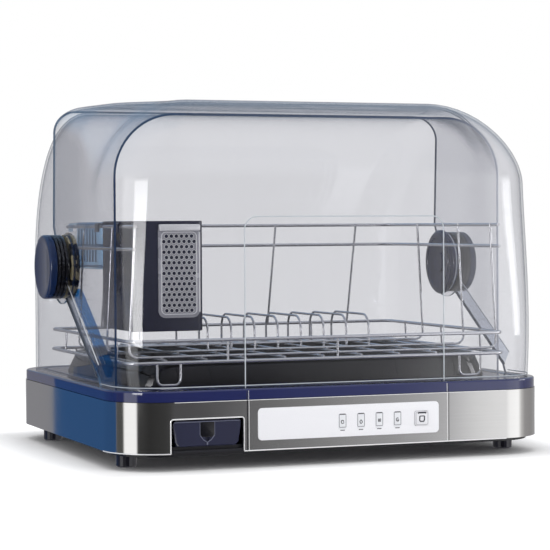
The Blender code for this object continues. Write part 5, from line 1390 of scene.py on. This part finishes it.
@dataclass
class ControlFront:
    """White panel with mode windows, printed symbols and the power button, as (x, z) points."""

    face: float = -215.8
    back: float = -214.2
    panel: Corners = ((-99.8, 28.5), (109.0, 62.3))
    panel_corner: float = 4.5
    panel_edge: float = 0.6
    key_hole: Corners = ((79.75, 36.6), (96.45, 52.6))
    key_hole_corner: float = 2.0
    window_x: float = -4.2
    window_pitch: float = 21.3
    window_z: float = 44.8
    window_half: Point2 = (4.5, 8.25)
    window_box: Corners = ((-3.9, -6.2), (3.9, 7.6))
    window_bar: float = 3.2
    window_proud: float = 0.3
    symbol_drop: float = 0.5
    symbol_height: float = 1.15
    caption_drop: float = 9.4
    thin_line: float = 0.34
    symbol_line: float = 0.46
    caption_line: float = 0.5
    bar_line: float = 0.55
    mark_line: float = 0.75
    outline_line: float = 0.22
    button: Point2 = (88.2, 44.6)
    button_half: Point2 = (8.0, 7.75)
    button_proud: float = 1.3
    print_flatness: float = 0.25

    CAPTION_DASHES = ((-2.5, -0.9), (-0.6, 0.5), (0.8, 2.4))
    BUTTON_BAR = ((-4.9, 5.3), (-3.9, 5.9), (3.9, 5.9), (4.9, 5.3))
    BUTTON_RING = ((-2.6, 2.4), (-2.8, -2.4), (-1.6, -3.4), (1.8, -3.4), (2.8, -2.0), (2.8, 2.4))
    BUTTON_GAP = ((-2.6, 2.4), (2.8, 2.4))

    def line(
        self, piece: Piece, points: list[Point2], depth: float, width: float, closed: bool = False
    ) -> None:
        """Adds a printed line: a flattened thread along the points.

        Args:
            piece: piece that it is added to.
            points: (x, z) points of the line.
            depth: y of the face that carries it.
            width: half width of the line.
            closed: whether the line's end meets its start.
        """
        skin, faces = wire_skin(np.array([(x, depth, z) for x, z in points]), width, 6, closed)
        skin[:, 1] = depth + (skin[:, 1] - depth) * self.print_flatness
        piece.add(skin, faces)

    def symbol(self, index: int) -> list[list[Point2]]:
        """Plain pictogram of a mode: warm air, drop, waves or turning hand.

        Args:
            index: number of the mode, from 0.

        Returns:
            Open strokes of (x, z) points about the pictogram's middle.
        """
        if index == 0:
            turn = np.linspace(0, 3 * QUARTER, 9)
            return [[(1.5 * np.cos(a) - 0.2, 1.5 * np.sin(a)) for a in turn], [(0.3, -1.6), (1.6, -0.6)]]
        if index == 1:
            turn = np.linspace(-QUARTER, 3 * QUARTER, 13)
            narrow = 1 - 0.45 * np.maximum(np.sin(turn), 0.0)
            return [list(zip(1.4 * np.cos(turn) * narrow, -0.5 + 1.6 * np.sin(turn)))]
        if index == 2:
            wave = ((-1.2, 0), (-0.9, 2), (-1.2, 4), (-0.9, 6))
            return [[(x + s, 1.6 - 0.5 * k) for x, k in wave] for s in (0.0, 1.2, 2.4)]
        turn = np.linspace(0.5 * QUARTER, 4 * QUARTER, 11)
        return [[(1.5 * np.cos(a), 1.5 * np.sin(a)) for a in turn], [(0.0, 0.0), (1.0, -1.8)]]

    def panel_face(self) -> None:
        """Panel with an opening for the button's key: the slab without its flat faces, then holed ones."""
        outline = front_outline(*self.panel, self.panel_corner)
        key = front_outline(*self.key_hole, self.key_hole_corner, 6)
        points, faces = slab(outline, self.face, self.back, self.panel_edge)
        piece = Piece().add(points, faces[:-2])
        size = len(outline)
        piece.add(*holed_plane(points[:size][:, [0, 2]], key, Axis.Y, self.face))
        piece.add(*holed_plane(points[-size:][:, [0, 2]], key, Axis.Y, self.back))
        rings = [np.insert(key, 1, y, axis=1) for y in (self.face, self.back)]
        piece.add(*loft(np.stack(rings), False, False))
        piece.build("panel_face", Body.BASE, "white_plastic", WHITE, nodes=("control_panel",))

    def windows(self) -> None:
        """Four mode windows, each with its outline, bar, pictogram and three caption dashes."""
        prints, pale = Piece(), Piece()
        half_x, half_z = self.window_half
        depth, z = self.face - self.window_proud, self.window_z
        for index in range(4):
            x = self.window_x + self.window_pitch * index
            glass = front_outline((x - half_x, z - half_z), (x + half_x, z + half_z), 1.2, 4)
            piece = Piece().add(*slab(glass, depth, self.face + 0.2, 0.2))
            name = f"mode_window_{index + 1}"
            piece.build(f"mode_lens_{index + 1}", Body.BASE, "lens_plastic", LENS, nodes=(name,))
            low, high = ((x + dx, z + dz) for dx, dz in self.window_box)
            self.line(pale, front_outline(low, high, 0.8, 3).tolist(), depth, self.thin_line, True)
            bar = [(x + dx, high[1]) for dx in (-self.window_bar, self.window_bar)]
            self.line(prints, bar, depth, self.bar_line)
            for stroke in self.symbol(index):
                places = [(x + dx, z - self.symbol_drop + dz * self.symbol_height) for dx, dz in stroke]
                self.line(prints, places, depth, self.symbol_line)
            for dash in self.CAPTION_DASHES:
                ends = [(x + dx, z - self.caption_drop) for dx in dash]
                self.line(prints, ends, self.face, self.caption_line)
        prints.build("mode_symbols", Body.BASE, "white_plastic", INK)
        pale.build("mode_outlines", Body.BASE, "white_plastic", PALE_INK)

    def power_button(self) -> None:
        """Square push button with a ring mark and a bar over it, in a thin outline."""
        x, z = self.button
        half_x, half_z = self.button_half
        depth = self.face - self.button_proud
        key = front_outline((x - half_x, z - half_z), (x + half_x, z + half_z), 1.8, 6)
        piece = Piece().add(*slab(key, depth, self.face + 1.0, 0.5))
        piece.build("button_key", Body.BUTTON, "grey_plastic", GREY, nodes=("power_button",))
        marks = Piece()
        bold, fine = self.mark_line, self.caption_line
        for stroke, width in ((self.BUTTON_BAR, bold), (self.BUTTON_RING, bold), (self.BUTTON_GAP, fine)):
            self.line(marks, [(x + dx, z + dz) for dx, dz in stroke], depth, width)
        marks.build("button_mark", Body.BUTTON, "grey_plastic", INK)
        frame = Piece()
        edge = front_outline((x - 7.0, z - 6.8), (x + 7.0, z + 6.8), 1.4, 4)
        self.line(frame, edge.tolist(), depth, self.outline_line, True)
        frame.build("button_outline", Body.BUTTON, "grey_plastic", PALE_INK)

    def build(self) -> None:
        """Builds the panel, its windows with their prints, and the button."""
        self.panel_face()
        self.windows()
        self.power_button()


@dataclass
class DripTray:
    """Glossy drip tray: layers are (half width, half depth, corner radius, height)."""

    spout: Point2 = (-156.0, -125.0)
    spout_steps: int = 32

    LAYERS = (
        (189.5, 135.0, 27.0, 84.5), (197.5, 143.0, 33.5, 104.5), (209.5, 148.5, 39.0, 83.3),
        (212.0, 151.0, 41.5, 83.3), (212.0, 151.0, 41.5, 84.0), (201.2, 146.1, 36.6, 105.6),
        (200.6, 145.9, 36.4, 106.6), (199.6, 145.1, 35.6, 107.0), (196.4, 141.9, 32.4, 107.0),
        (195.6, 141.1, 31.6, 106.4), (190.4, 135.9, 26.4, 88.4), (188.4, 133.9, 24.4, 87.0),
    )
    SPOUT_PROFILE = ((62.0, 4.0), (62.0, 6.0), (84.6, 6.0), (84.6, 4.0))

    def build(self) -> None:
        """Builds the tray as one closed skin through its layers, and its drain spout."""
        piece = Piece().add(*loft(box_rings(list(self.LAYERS), 14)))
        profile = np.array(self.SPOUT_PROFILE)
        rings = turned(profile, Axis.Z, self.spout, self.spout_steps)
        piece.add(rings, grid_faces(len(profile), self.spout_steps, True, True))
        piece.build("tray_form", Body.TRAY, "dark_plastic", BLACK, nodes=("drip_tray",))


@dataclass
class WireRack:
    """Welded wire rack: basket, upright hoops, guard rails, side hoops and back posts."""

    rail: float = 1.9
    wire: float = 1.3
    guard_top: float = 252.0
    guard_low: float = 228.0
    loop_top: float = 131.0
    loop_low: float = 108.0
    loop_half: float = 219.5
    guard_half: float = 213.0
    reach_y: float = 155.0
    guard_back_y: float = 126.0
    seated: float = 3.5
    weld: float = 2.6
    overlap: float = 1.5
    loop_corner: float = 12.0
    floor_half: float = 180.0
    floor_wires: int = 9
    foot_x: Point2 = (164.0, 190.0)
    foot_z: float = 84.6
    foot_bend: float = 6.5
    cross_half: float = 206.0
    hoop_y: float = 55.0
    hoop_height: float = 36.0
    hoop_pitch: float = 28.0
    hoop_count: int = 8
    hoop_bend: float = 16.0
    guard_bend: float = 22.0
    side_bend: float = 9.0

    FRONT_POSTS = (-0.5, 0.08)
    REAR_POSTS = (-0.51, 0.51)
    SIDE_POSTS = (-0.65, 0.0, 0.65)
    SIDE_HOOPS = (-0.915, -0.390, 0.320)
    BACK_POSTS = (-0.75, -0.25, 0.25, 0.75)

    @property
    def cross_z(self) -> float:
        """Height of the wires that lie on the floor wires."""
        return self.loop_low + self.weld + 2 * self.wire + 0.3

    def lean(self, z: float) -> float:
        """Share of the way down from the guard's top to the basket's."""
        return (self.guard_top - z) / (self.guard_top - self.loop_top)

    def post_x(self, z: float) -> float:
        """Sideways place of the side posts, which lean out towards the basket."""
        return self.guard_half - self.seated + (self.loop_half - self.guard_half) * self.lean(z)

    def post_back_y(self, z: float) -> float:
        """Depth of the back posts, which lean back towards the basket."""
        return self.guard_back_y - self.seated + (self.reach_y - self.guard_back_y) * self.lean(z)

    def wires(self, name: str, groups: list[tuple[list, float, bool]], node: str) -> None:
        """Builds one welded set of wires.

        Args:
            name: name of the piece.
            groups: (paths, radius of the wire, whether they are closed) of each kind of wire.
            node: node of the frame that it stands for.
        """
        piece = Piece()
        for paths, radius, closed in groups:
            for path in paths:
                piece.add(*wire_skin(np.asarray(path, float), radius, 12, closed))
        piece.build(name, Body.RACK, "chromed_wire", CHROME, nodes=(node,))

    def basket(self) -> None:
        """Two closed loops with short posts, floor wires and bent feet."""
        loops = []
        for z in (self.loop_top, self.loop_low):
            outline, _ = rounded_outline(self.post_x(z) + self.seated, self.reach_y, self.loop_corner, 8)
            loops.append(level(outline, z))
        low, high = self.loop_low - self.overlap, self.loop_top + self.overlap
        posts = []
        for shares, y in (
            (self.FRONT_POSTS, self.weld - self.reach_y), (self.REAR_POSTS, self.reach_y - self.weld)
        ):
            posts += [[(share * self.loop_half, y, z) for z in (low, high)] for share in shares]
        for share in self.SIDE_POSTS:
            for side in (-1, 1):
                places = [(side * (self.post_x(z) + self.seated - self.weld), z) for z in (low, high)]
                posts.append([(x, share * self.reach_y, z) for x, z in places])
        floor_z = self.loop_low + self.weld
        across = np.linspace(-self.floor_half, self.floor_half, self.floor_wires)
        floor = [[(x, -self.reach_y, floor_z), (x, self.reach_y, floor_z)] for x in across]
        feet = []
        for y in (-self.reach_y, self.reach_y):
            for side in (-1, 1):
                near, far = side * self.foot_x[0], side * self.foot_x[1]
                ends = ((near, self.loop_low), (near, self.foot_z), (far, self.foot_z), (far, self.loop_low))
                feet.append(bent_path([(x, y, z) for x, z in ends], self.foot_bend, 6))
        groups = [(loops, self.rail, True), (posts + floor + feet, self.wire, False)]
        self.wires("basket_wires", groups, "rack_basket")

    def dividers(self) -> None:
        """Row of upright hoops on two cross wires."""
        y, low, high = self.hoop_y, self.cross_z, self.cross_z + self.hoop_height
        paths = [[(-self.cross_half, end, low), (self.cross_half, end, low)] for end in (-y, y)]
        for index in range(self.hoop_count):
            x = (index - (self.hoop_count - 1) / 2) * self.hoop_pitch
            corners = [(x, -y, low), (x, -y, high), (x, y, high), (x, y, low)]
            paths.append(bent_path(corners, self.hoop_bend, 8))
        self.wires("divider_wires", [(paths, self.wire, False)], "plate_dividers")

    def guard(self) -> None:
        """Two rails open at the front, side hoops and back posts."""
        for word, z in (("upper", self.guard_top), ("lower", self.guard_low)):
            x, back = self.post_x(z) + self.seated, self.post_back_y(z) + self.seated
            corners = [(-x, -self.reach_y, z), (-x, back, z), (x, back, z), (x, -self.reach_y, z)]
            groups = [([bent_path(corners, self.guard_bend, 14)], self.rail, False)]
            self.wires(f"guard_wire_{word}", groups, f"guard_rail_{word}")
        top, low = self.guard_top + self.overlap, self.cross_z
        wide, narrow = self.post_x(top), self.post_x(low)
        for index, share in enumerate(self.SIDE_HOOPS, 1):
            y = share * self.reach_y
            corners = [(-wide, y, top), (-narrow, y, low), (narrow, y, low), (wide, y, top)]
            groups = [([bent_path(corners, self.side_bend, 8)], self.wire, False)]
            self.wires(f"hoop_wire_{index}", groups, f"side_hoop_{index}")
        for index, share in enumerate(self.BACK_POSTS, 1):
            ends = (top, self.loop_top - self.overlap)
            path = [(share * self.guard_half, self.post_back_y(z), z) for z in ends]
            self.wires(f"back_wire_{index}", [([path], self.wire, False)], f"back_post_{index}")

    def build(self) -> None:
        """Builds every wire of the rack."""
        self.basket()
        self.dividers()
        self.guard()


@dataclass
class Containers:
    """Slate holder with its perforated sheet, and the clear ribbed cup, hung on the guard."""

    outer_x: float = -205.0
    corner: float = 7.0
    wall: float = 2.0
    hook_top: float = 255.2
    hook_x: float = -216.2
    hook_low: float = 246.2
    hook_bend: float = 1.6
    hook_half: float = 6.0
    holder_low: Point3 = (-205.0, -120.0, 139.5)
    holder_high: Point3 = (-125.0, -2.0, 258.0)
    cup_low: Point3 = (-205.0, 4.0, 204.0)
    cup_high: Point3 = (-150.0, 103.0, 257.0)
    holder_hooks: Point2 = (-98.0, -24.0)
    cup_hooks: Point2 = (22.0, 83.0)
    rib_ends: Point2 = (19.0, 88.0)
    rib_count: int = 7
    rib_z: Point2 = (212.0, 249.0)
    ring_z: Point3 = (206.5, 231.0, 254.5)
    plate_faces: Point2 = (-121.1, -120.3)
    plate: Corners = ((-177.0, 154.0), (-130.0, 254.5))
    field: Corners = ((-173.4, 157.6), (-133.6, 246.0))
    lip: Corners = ((-176.6, 247.4), (-130.4, 254.4))
    lip_front: float = -125.3
    hole_pitch: float = 5.7
    hole_radius: float = 2.3
    hole_sides: int = 12
    hole_columns: int = 6
    hole_rows: int = 15
    first_hole: Point2 = (-153.5, 161.8)

    def hung_box(self, low: Point3, high: Point3) -> Piece:
        """Open box: outer rings up, over a rounded lip, and down to the inner floor.

        Args:
            low: its lowest corner.
            high: its highest corner.

        Returns:
            The piece, not built yet.
        """
        half_x, half_y = (high[0] - low[0]) / 2, (high[1] - low[1]) / 2
        centre = np.array([(high[0] + low[0]) / 2, (high[1] + low[1]) / 2, 0.0])
        bottom, top, wall = low[2], high[2], self.wall
        steps = [(1.2, bottom), (0.3, bottom + 0.4), (0.0, bottom + 1.2), (0.0, top - 0.6), (0.5, top)]
        steps += [(wall - 0.5, top), (wall, top - 0.6)]
        steps += [(wall, bottom + wall + 1.0), (wall + 1.0, bottom + wall)]
        layers = [(half_x - inset, half_y - inset, self.corner - inset, z) for inset, z in steps]
        return Piece().add(*loft(box_rings(layers, 8) + centre))

    def hooks(self, piece: Piece, places: Point2) -> None:
        """Adds flat straps bent over the upper guard rail.

        Args:
            piece: piece that they are added to.
            places: y of each strap.
        """
        across = np.array([0.0, self.hook_half, 0.0])
        for y in places:
            start = (self.outer_x + 1.0, y, self.hook_top)
            corners = [start, (self.hook_x, y, self.hook_top), (self.hook_x, y, self.hook_low)]
            path = bent_path(corners, self.hook_bend, 6)
            normal = np.cross(np.gradient(path, axis=0), (0.0, 1.0, 0.0))
            normal /= np.linalg.norm(normal, axis=1)[:, None]
            section = ((-across, normal), (across, normal), (across, -normal), (-across, -normal))
            piece.add(*loft(np.stack([path + side + out for side, out in section], axis=1)))

    def holder(self) -> None:
        """Slate-coloured holder with its two hooks."""
        piece = self.hung_box(self.holder_low, self.holder_high)
        self.hooks(piece, self.holder_hooks)
        piece.build("holder_box", Body.HOLDER, "navy_plastic", HOLDER_GREY, nodes=("cutlery_holder",))

    def holes(self) -> Array:
        """Staggered field of round holes, each odd row with one more than the even ones."""
        columns = self.hole_columns
        row, column = np.meshgrid(np.arange(self.hole_rows), np.arange(columns + 1), indexing="ij")
        keep = (row % 2 == 1) | (column < columns)
        across = (column - columns / 2 + 0.5 - 0.5 * (row % 2)) * self.hole_pitch
        middle = np.stack([across, row * self.hole_pitch], axis=-1)[keep] + np.array(self.first_hole)
        return middle[:, None] + circle(self.hole_radius, self.hole_sides)[None]

    def perforated(self, sheet: Array, holes: Array) -> Piece:
        """Flat sheet of steel with many holes.

        It is triangles between its outline and the holes on both faces, and the walls of each.

        Args:
            sheet: (x, z) outline of the sheet.
            holes: (x, z) outlines of its holes.

        Returns:
            The piece, with a painted highlight lip round each hole, not built yet.
        """
        rings = [sheet, *holes]
        triangles = tessellate_polygon([[Vector((x, z, 0.0)) for x, z in ring] for ring in rings])
        points = np.concatenate(rings)
        piece = Piece()
        for y in self.plate_faces:
            piece.add(np.insert(points, 1, y, axis=1), np.array(triangles))
        for ring in rings:
            ends = [np.insert(ring, 1, y, axis=1) for y in self.plate_faces]
            piece.add(*loft(np.stack(ends), False, False))
        front = self.plate_faces[0] - 0.1
        for hole in holes:
            piece.add(*wire_skin(np.insert(hole, 1, front, axis=1), 0.3, 6, True), 1)
        return piece

    def perforated_plate(self) -> None:
        """Perforated sheet with a bead round its field, a lip along its top and a bright right edge, all in
        painted highlight.
        """
        piece = self.perforated(front_outline(*self.plate, 8.0), self.holes())
        front = self.plate_faces[0]
        piece.add(*slab(front_outline(*self.lip, 1.5, 5), self.lip_front, front - 0.05, 1.2), 1)
        field = np.insert(front_outline(*self.field, 5.0), 1, front - 0.05, axis=1)
        piece.add(*wire_skin(field, 0.55, 8, True), 1)
        right = self.plate[1][0] - 0.3
        piece.add(*rod((right, front - 0.1, 160.0), (right, front - 0.1, 246.0), 0.8), 1)
        piece.build("plate_pressed", Body.HOLDER, "brushed_steel", PLATE, PAINTED_HIGHLIGHT, nodes=("perforated_plate",))

    def cup(self) -> None:
        """Clear cup with upright ribs on two sides and three ribs round it."""
        piece = self.hung_box(self.cup_low, self.cup_high)
        self.hooks(piece, self.cup_hooks)
        piece.build("cup_shell", Body.CUP, "blue_clear_plastic", CUP_CLEAR, nodes=("clear_cup",))
        ribs = Piece()
        foot, top = self.rib_z
        for y in np.linspace(*self.rib_ends, self.rib_count):
            for x in (self.cup_low[0] - 0.1, self.cup_high[0] + 0.1):
                ribs.add(*rod((x, y, foot), (x, y, top), 0.9))
        low, high = np.array(self.cup_low[:2]), np.array(self.cup_high[:2])
        outline, _ = rounded_outline(*((high - low) / 2 - 0.1), self.corner, 8)
        for z in self.ring_z:
            ribs.add(*wire_skin(level(outline + (low + high) / 2, z), 0.7, 6, True))
        ribs.build("cup_ribs", Body.CUP, "blue_clear_plastic", CUP_RIB)

    def build(self) -> None:
        """Builds both containers."""
        self.holder()
        self.perforated_plate()
        self.cup()


@dataclass
class Carried:
    """Nodes of the frame whose shape is kept, with a finish each."""

    FINISHES = (
        (SATIN_BLACK, ("base_pan", "fan_housing", "air_duct")),
        (NAVY, ("outlet_grille",)),
        (WHITE, ("fan_rotor",)),
        (STEEL, ("fan_motor", "heater_core", "fascia_plate", *(f"pan_screw_{i}" for i in range(1, 5)))),
        (HUB_NAVY, ("pivot_pin_left", "pivot_pin_right")),
        (RUBBER, ("cord_grommet", *(f"rubber_foot_{i}" for i in range(1, 5)))),
        (BOARD, ("control_board", "power_board")),
        (SMOKE, ("water_drawer",)),
    )

    def dress(self, nodes: dict[str, bpy.types.Object]) -> None:
        """Gives each node its finish on every material slot.

        Args:
            nodes: the frame's objects by name.
        """
        for finish, names in self.FINISHES:
            for item in (nodes[name] for name in names):
                if not item.material_slots:
                    item.data.materials.append(finish.made())
                for place in item.material_slots:
                    place.material = finish.made()


# Studio.


@dataclass
class Studio:
    """Camera, white floor and backdrop, plain soft light, and cards that only reflections see."""

    place: Point3 = (-0.8591, -2.2072, 0.2556)
    yaw: float = 21.364
    pitch: float = -1.465
    roll: float = -0.306
    lens: float = 134.2
    plain: Point3 = (0.80, 0.80, 0.81)
    white: Point3 = (1.0, 1.0, 1.0)
    sky_lift: Point2 = (0.12, 0.35)
    floor_radius: float = 1400.0
    floor_steps: int = 96
    floor_z: float = -0.2
    floor_fade: Point2 = (0.42, 0.95)
    base_half: Point3 = (0.25, 0.215, 0.0)
    shade_reach: float = 0.07
    floor_glow: float = 0.34
    blue_x: Point2 = (-0.289, -1.25)
    blue_y: float = 0.186
    blue_z: Point2 = (-0.15, 0.083)

    CARDS = (
        (-180, (0.30, 0.30, 0.32)), (-111, (0.25, 0.245, 0.26)), (-107, (0.11, 0.11, 0.108)),
        (-92, (0.10, 0.10, 0.096)), (-88, (1.35, 1.35, 1.34)), (-61, (1.35, 1.35, 1.35)),
        (-58, (0.06, 0.06, 0.06)), (-33, (0.040, 0.040, 0.040)), (-2, (0.055, 0.055, 0.055)),
        (12, (0.075, 0.075, 0.077)), (18.5, (0.095, 0.094, 0.10)), (20.5, (0.15, 0.148, 0.155)),
        (21.6, (0.26, 0.26, 0.265)), (23.6, (0.33, 0.33, 0.335)), (25.0, (0.42, 0.42, 0.43)),
        (26.4, (0.62, 0.62, 0.64)), (27.8, (1.05, 1.05, 1.06)), (36, (1.35, 1.35, 1.35)),
        (60, (1.45, 1.45, 1.45)), (68, (0.75, 0.74, 0.73)), (80, (0.42, 0.41, 0.41)),
        (105, (0.36, 0.35, 0.35)), (150, (0.45, 0.45, 0.46)), (180, (0.30, 0.30, 0.32)),
    )
    SKY = (
        (-180, (0.20, 0.34, 0.52)), (-120, (0.34, 0.44, 0.56)), (-90, (0.50, 0.55, 0.62)),
        (-20, (0.30, 0.32, 0.36)), (30, (0.60, 0.62, 0.65)), (90, (0.70, 0.71, 0.74)),
        (150, (0.36, 0.46, 0.58)), (180, (0.20, 0.34, 0.52)),
    )

    def camera(self) -> None:
        """Camera at the photograph's place.

        Forward is (sin yaw cos pitch, cos yaw cos pitch, sin pitch).
        """
        yaw, pitch, roll = np.radians([self.yaw, self.pitch, self.roll])
        ahead = np.array([np.sin(yaw) * np.cos(pitch), np.cos(yaw) * np.cos(pitch), np.sin(pitch)])
        right = np.array([np.cos(yaw), -np.sin(yaw), 0.0])
        up = np.cross(right, ahead)
        across = right * np.cos(roll) + up * np.sin(roll)
        upright = np.cross(across, ahead)
        data = bpy.data.cameras.new("camera")
        data.lens = self.lens
        data.sensor_width = 36.0
        data.clip_end = 50.0
        camera = bpy.data.objects.new("camera", data)
        matrix = np.eye(4)
        matrix[:3, :4] = np.column_stack([across, upright, -ahead, self.place])
        camera.matrix_world = Matrix(matrix.tolist())
        bpy.context.scene.collection.objects.link(camera)
        bpy.context.scene.camera = camera

    def world(self) -> None:
        """White to the camera, plain light to surfaces, and studio cards to reflections.

        The cards are bands by compass angle, which fade into a sky with the height.
        """
        world = bpy.data.worlds.new("studio")
        bpy.context.scene.world = world
        world.use_nodes = True
        world.cycles.sampling_method = "NONE"
        tree = Nodes(world.node_tree)
        direction = tree.node("ShaderNodeTexCoord").outputs["Generated"]
        split = tree.node("ShaderNodeSeparateXYZ", {0: direction}).outputs
        compass = tree.math("ARCTAN2", split["X"], tree.math("MULTIPLY", split["Y"], -1.0))
        turn = tree.ranged(compass, (-np.pi, np.pi))
        ramps = []
        for table in (self.CARDS, self.SKY):
            ramp = tree.node("ShaderNodeValToRGB", {0: turn})
            self.stops(ramp.color_ramp, table)
            ramps.append(ramp.outputs[0])
        mirrored = tree.blend(tree.ranged(split["Z"], self.sky_lift), *ramps)
        rays = tree.node("ShaderNodeLightPath").outputs
        shown = tree.blend(rays["Is Glossy Ray"], self.plain, mirrored)
        seen = tree.math("MAXIMUM", rays["Is Camera Ray"], rays["Is Transmission Ray"])
        back = tree.node("ShaderNodeBackground", {"Color": tree.blend(seen, shown, self.white)})
        tree.node("ShaderNodeOutputWorld", {"Surface": back.outputs[0]})

    @staticmethod
    def stops(ramp: bpy.types.ColorRamp, cards: tuple) -> None:
        """Sets a ramp's stops.

        Args:
            ramp: ramp over the whole compass.
            cards: (compass degrees, colour) pairs; 0 faces the front, 90 the right.
        """
        while len(ramp.elements) > 1:
            ramp.elements.remove(ramp.elements[-1])
        for index, (degrees, colour) in enumerate(cards):
            share = (degrees + 180.0) / 360.0
            stop = ramp.elements[0] if index == 0 else ramp.elements.new(share)
            stop.position = share
            stop.color = (*colour, 1.0)

    def floor(self) -> None:
        """Round floor that keeps the shadow near the dryer and fades into the white backdrop.

        Its own glow is nought under the base and grows with the distance from the base's outline, which
        paints a darker shade on the floor under the base and round it.
        """
        mesh = bpy.data.meshes.new("floor")
        rim = level(circle(self.floor_radius, self.floor_steps), self.floor_z)
        mesh.from_pydata((rim * MM).tolist(), [], [list(range(self.floor_steps))])
        floor = bpy.data.objects.new("floor", mesh)
        floor.visible_glossy = False
        bpy.context.scene.collection.objects.link(floor)
        tree = Tree("floor_paper")
        place = tree.place()
        fade = tree.ranged(tree.vector("LENGTH", place), self.floor_fade, soft=True)
        beyond = tree.vector("SUBTRACT", tree.vector("ABSOLUTE", place), self.base_half)
        away = tree.vector("LENGTH", tree.vector("MAXIMUM", beyond, (0.0, 0.0, 0.0)))
        # Painted shade: the floor's glow is held off under the base and fades in outside it.
        own = tree.ranged(away, (0.0, self.shade_reach), (0.0, self.floor_glow), soft=True)
        paper = tree.node("ShaderNodeBsdfDiffuse", {"Color": (0.97, 0.97, 0.97, 1.0)})
        lit = tree.node("ShaderNodeEmission", {"Color": (*self.white, 1.0), "Strength": own})
        both = tree.node("ShaderNodeAddShader", {0: paper.outputs[0], 1: lit.outputs[0]})
        clear = tree.node("ShaderNodeBsdfTransparent")
        inputs = {0: fade, 1: both.outputs[0], 2: clear.outputs[0]}
        mesh.materials.append(tree.finish(tree.node("ShaderNodeMixShader", inputs)))

    def card(self, name: str, corners: list[Point3], colour: Point3, strength: float, fade: float) -> None:
        """Flat glowing card that only reflections see; its glow fades out over its upper part.

        Args:
            name: name of the card.
            corners: its four corners in metres, the upper two last.
            colour: colour of its glow.
            strength: strength of its glow below the fade.
            fade: height of the part that fades.
        """
        mesh = bpy.data.meshes.new(name)
        mesh.from_pydata([Vector(corner) for corner in corners], [], [(0, 1, 2, 3)])
        tree = Tree(name)
        height = tree.node("ShaderNodeSeparateXYZ", {"Vector": tree.place()}).outputs["Z"]
        top = corners[2][2]
        glow = tree.ranged(height, (top, top - fade), (0.0, strength), soft=True)
        inputs = {"Color": (*colour, 1.0), "Strength": glow}
        mesh.materials.append(tree.finish(tree.node("ShaderNodeEmission", inputs)))
        card = bpy.data.objects.new(name, mesh)
        for flag in ("camera", "diffuse", "transmission", "volume_scatter", "shadow"):
            setattr(card, f"visible_{flag}", False)
        bpy.context.scene.collection.objects.link(card)

    def upright_card(
        self, name: str, bearing: float, away: float, width: float, heights: Point2, strength: float
    ) -> None:
        """White upright card, square to its bearing b: its middle lies at (sin b, -cos b) times the distance.

        Args:
            name: name of the card.
            bearing: compass degrees, 0 in front and 90 on the right.
            away: distance from the middle in metres.
            width: width in metres.
            heights: heights of its foot and its top in metres.
            strength: strength of its glow.
        """
        angle = np.radians(bearing)
        middle = np.array([np.sin(angle), -np.cos(angle)]) * away
        side = np.array([np.cos(angle), np.sin(angle)]) * width / 2
        low, high = middle - side, middle + side
        foot, top = heights
        corners = [(*low, foot), (*high, foot), (*high, top), (*low, top)]
        self.card(name, corners, self.white, strength, (top - foot) * 0.6)

    def lamp(self, name: str, place: Point3, size: float, power: float) -> None:
        """Square soft lamp that looks at the middle of the dryer and isn't mirrored.

        Args:
            name: name of the lamp.
            place: its place in metres.
            size: its side in metres.
            power: its power in watts.
        """
        data = bpy.data.lights.new(name, "AREA")
        data.shape = "SQUARE"
        data.size = size
        data.energy = power
        lamp = bpy.data.objects.new(name, data)
        ahead = (Vector((0.0, 0.0, 0.12)) - Vector(place)).normalized()
        lamp.matrix_world = Matrix.Translation(place) @ ahead.to_track_quat("-Z", "Y").to_matrix().to_4x4()
        lamp.visible_glossy = False
        bpy.context.scene.collection.objects.link(lamp)

    def build(self) -> None:
        """Sets up the whole studio."""
        self.camera()
        self.world()
        self.floor()
        (near, far), (foot, top), y = self.blue_x, self.blue_z, self.blue_y
        blue = [(near, y, foot), (far, y, foot), (far, y, top), (near, y, top)]
        self.card("card_blue", blue, (0.036, 0.100, 0.245), 1.0, 0.001)
        self.upright_card("card_left", -56.0, 1.05, 0.30, (0.10, 0.48), 8.0)
        self.upright_card("card_right", 68.0, 1.20, 0.34, (0.10, 0.55), 5.0)
        self.lamp("lamp_top", (-0.3, -0.5, 1.6), 1.3, 8.0)
        self.lamp("lamp_front", (0.9, -1.6, 0.9), 1.0, 4.0)
        bpy.context.scene.view_settings.view_transform = "Standard"
        bpy.context.scene.cycles.transparent_max_bounces = 32


def main() -> None:
    """Builds every sub-assembly round the frame."""
    logging.basicConfig(level=logging.INFO, format="%(name)s %(message)s")
    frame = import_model()
    Studio().build()
    Carried().dress(frame["nodes"])
    covers = Covers()
    bodies = BaseShell(), DrawerFront(), ControlFront(), DripTray(), WireRack(), Containers()
    for part in (covers, CoverTrims(covers), HubSet(), *bodies):
        LOG.info("building %s", type(part).__name__)
        part.build()


if __name__ == "__main__":
    main()
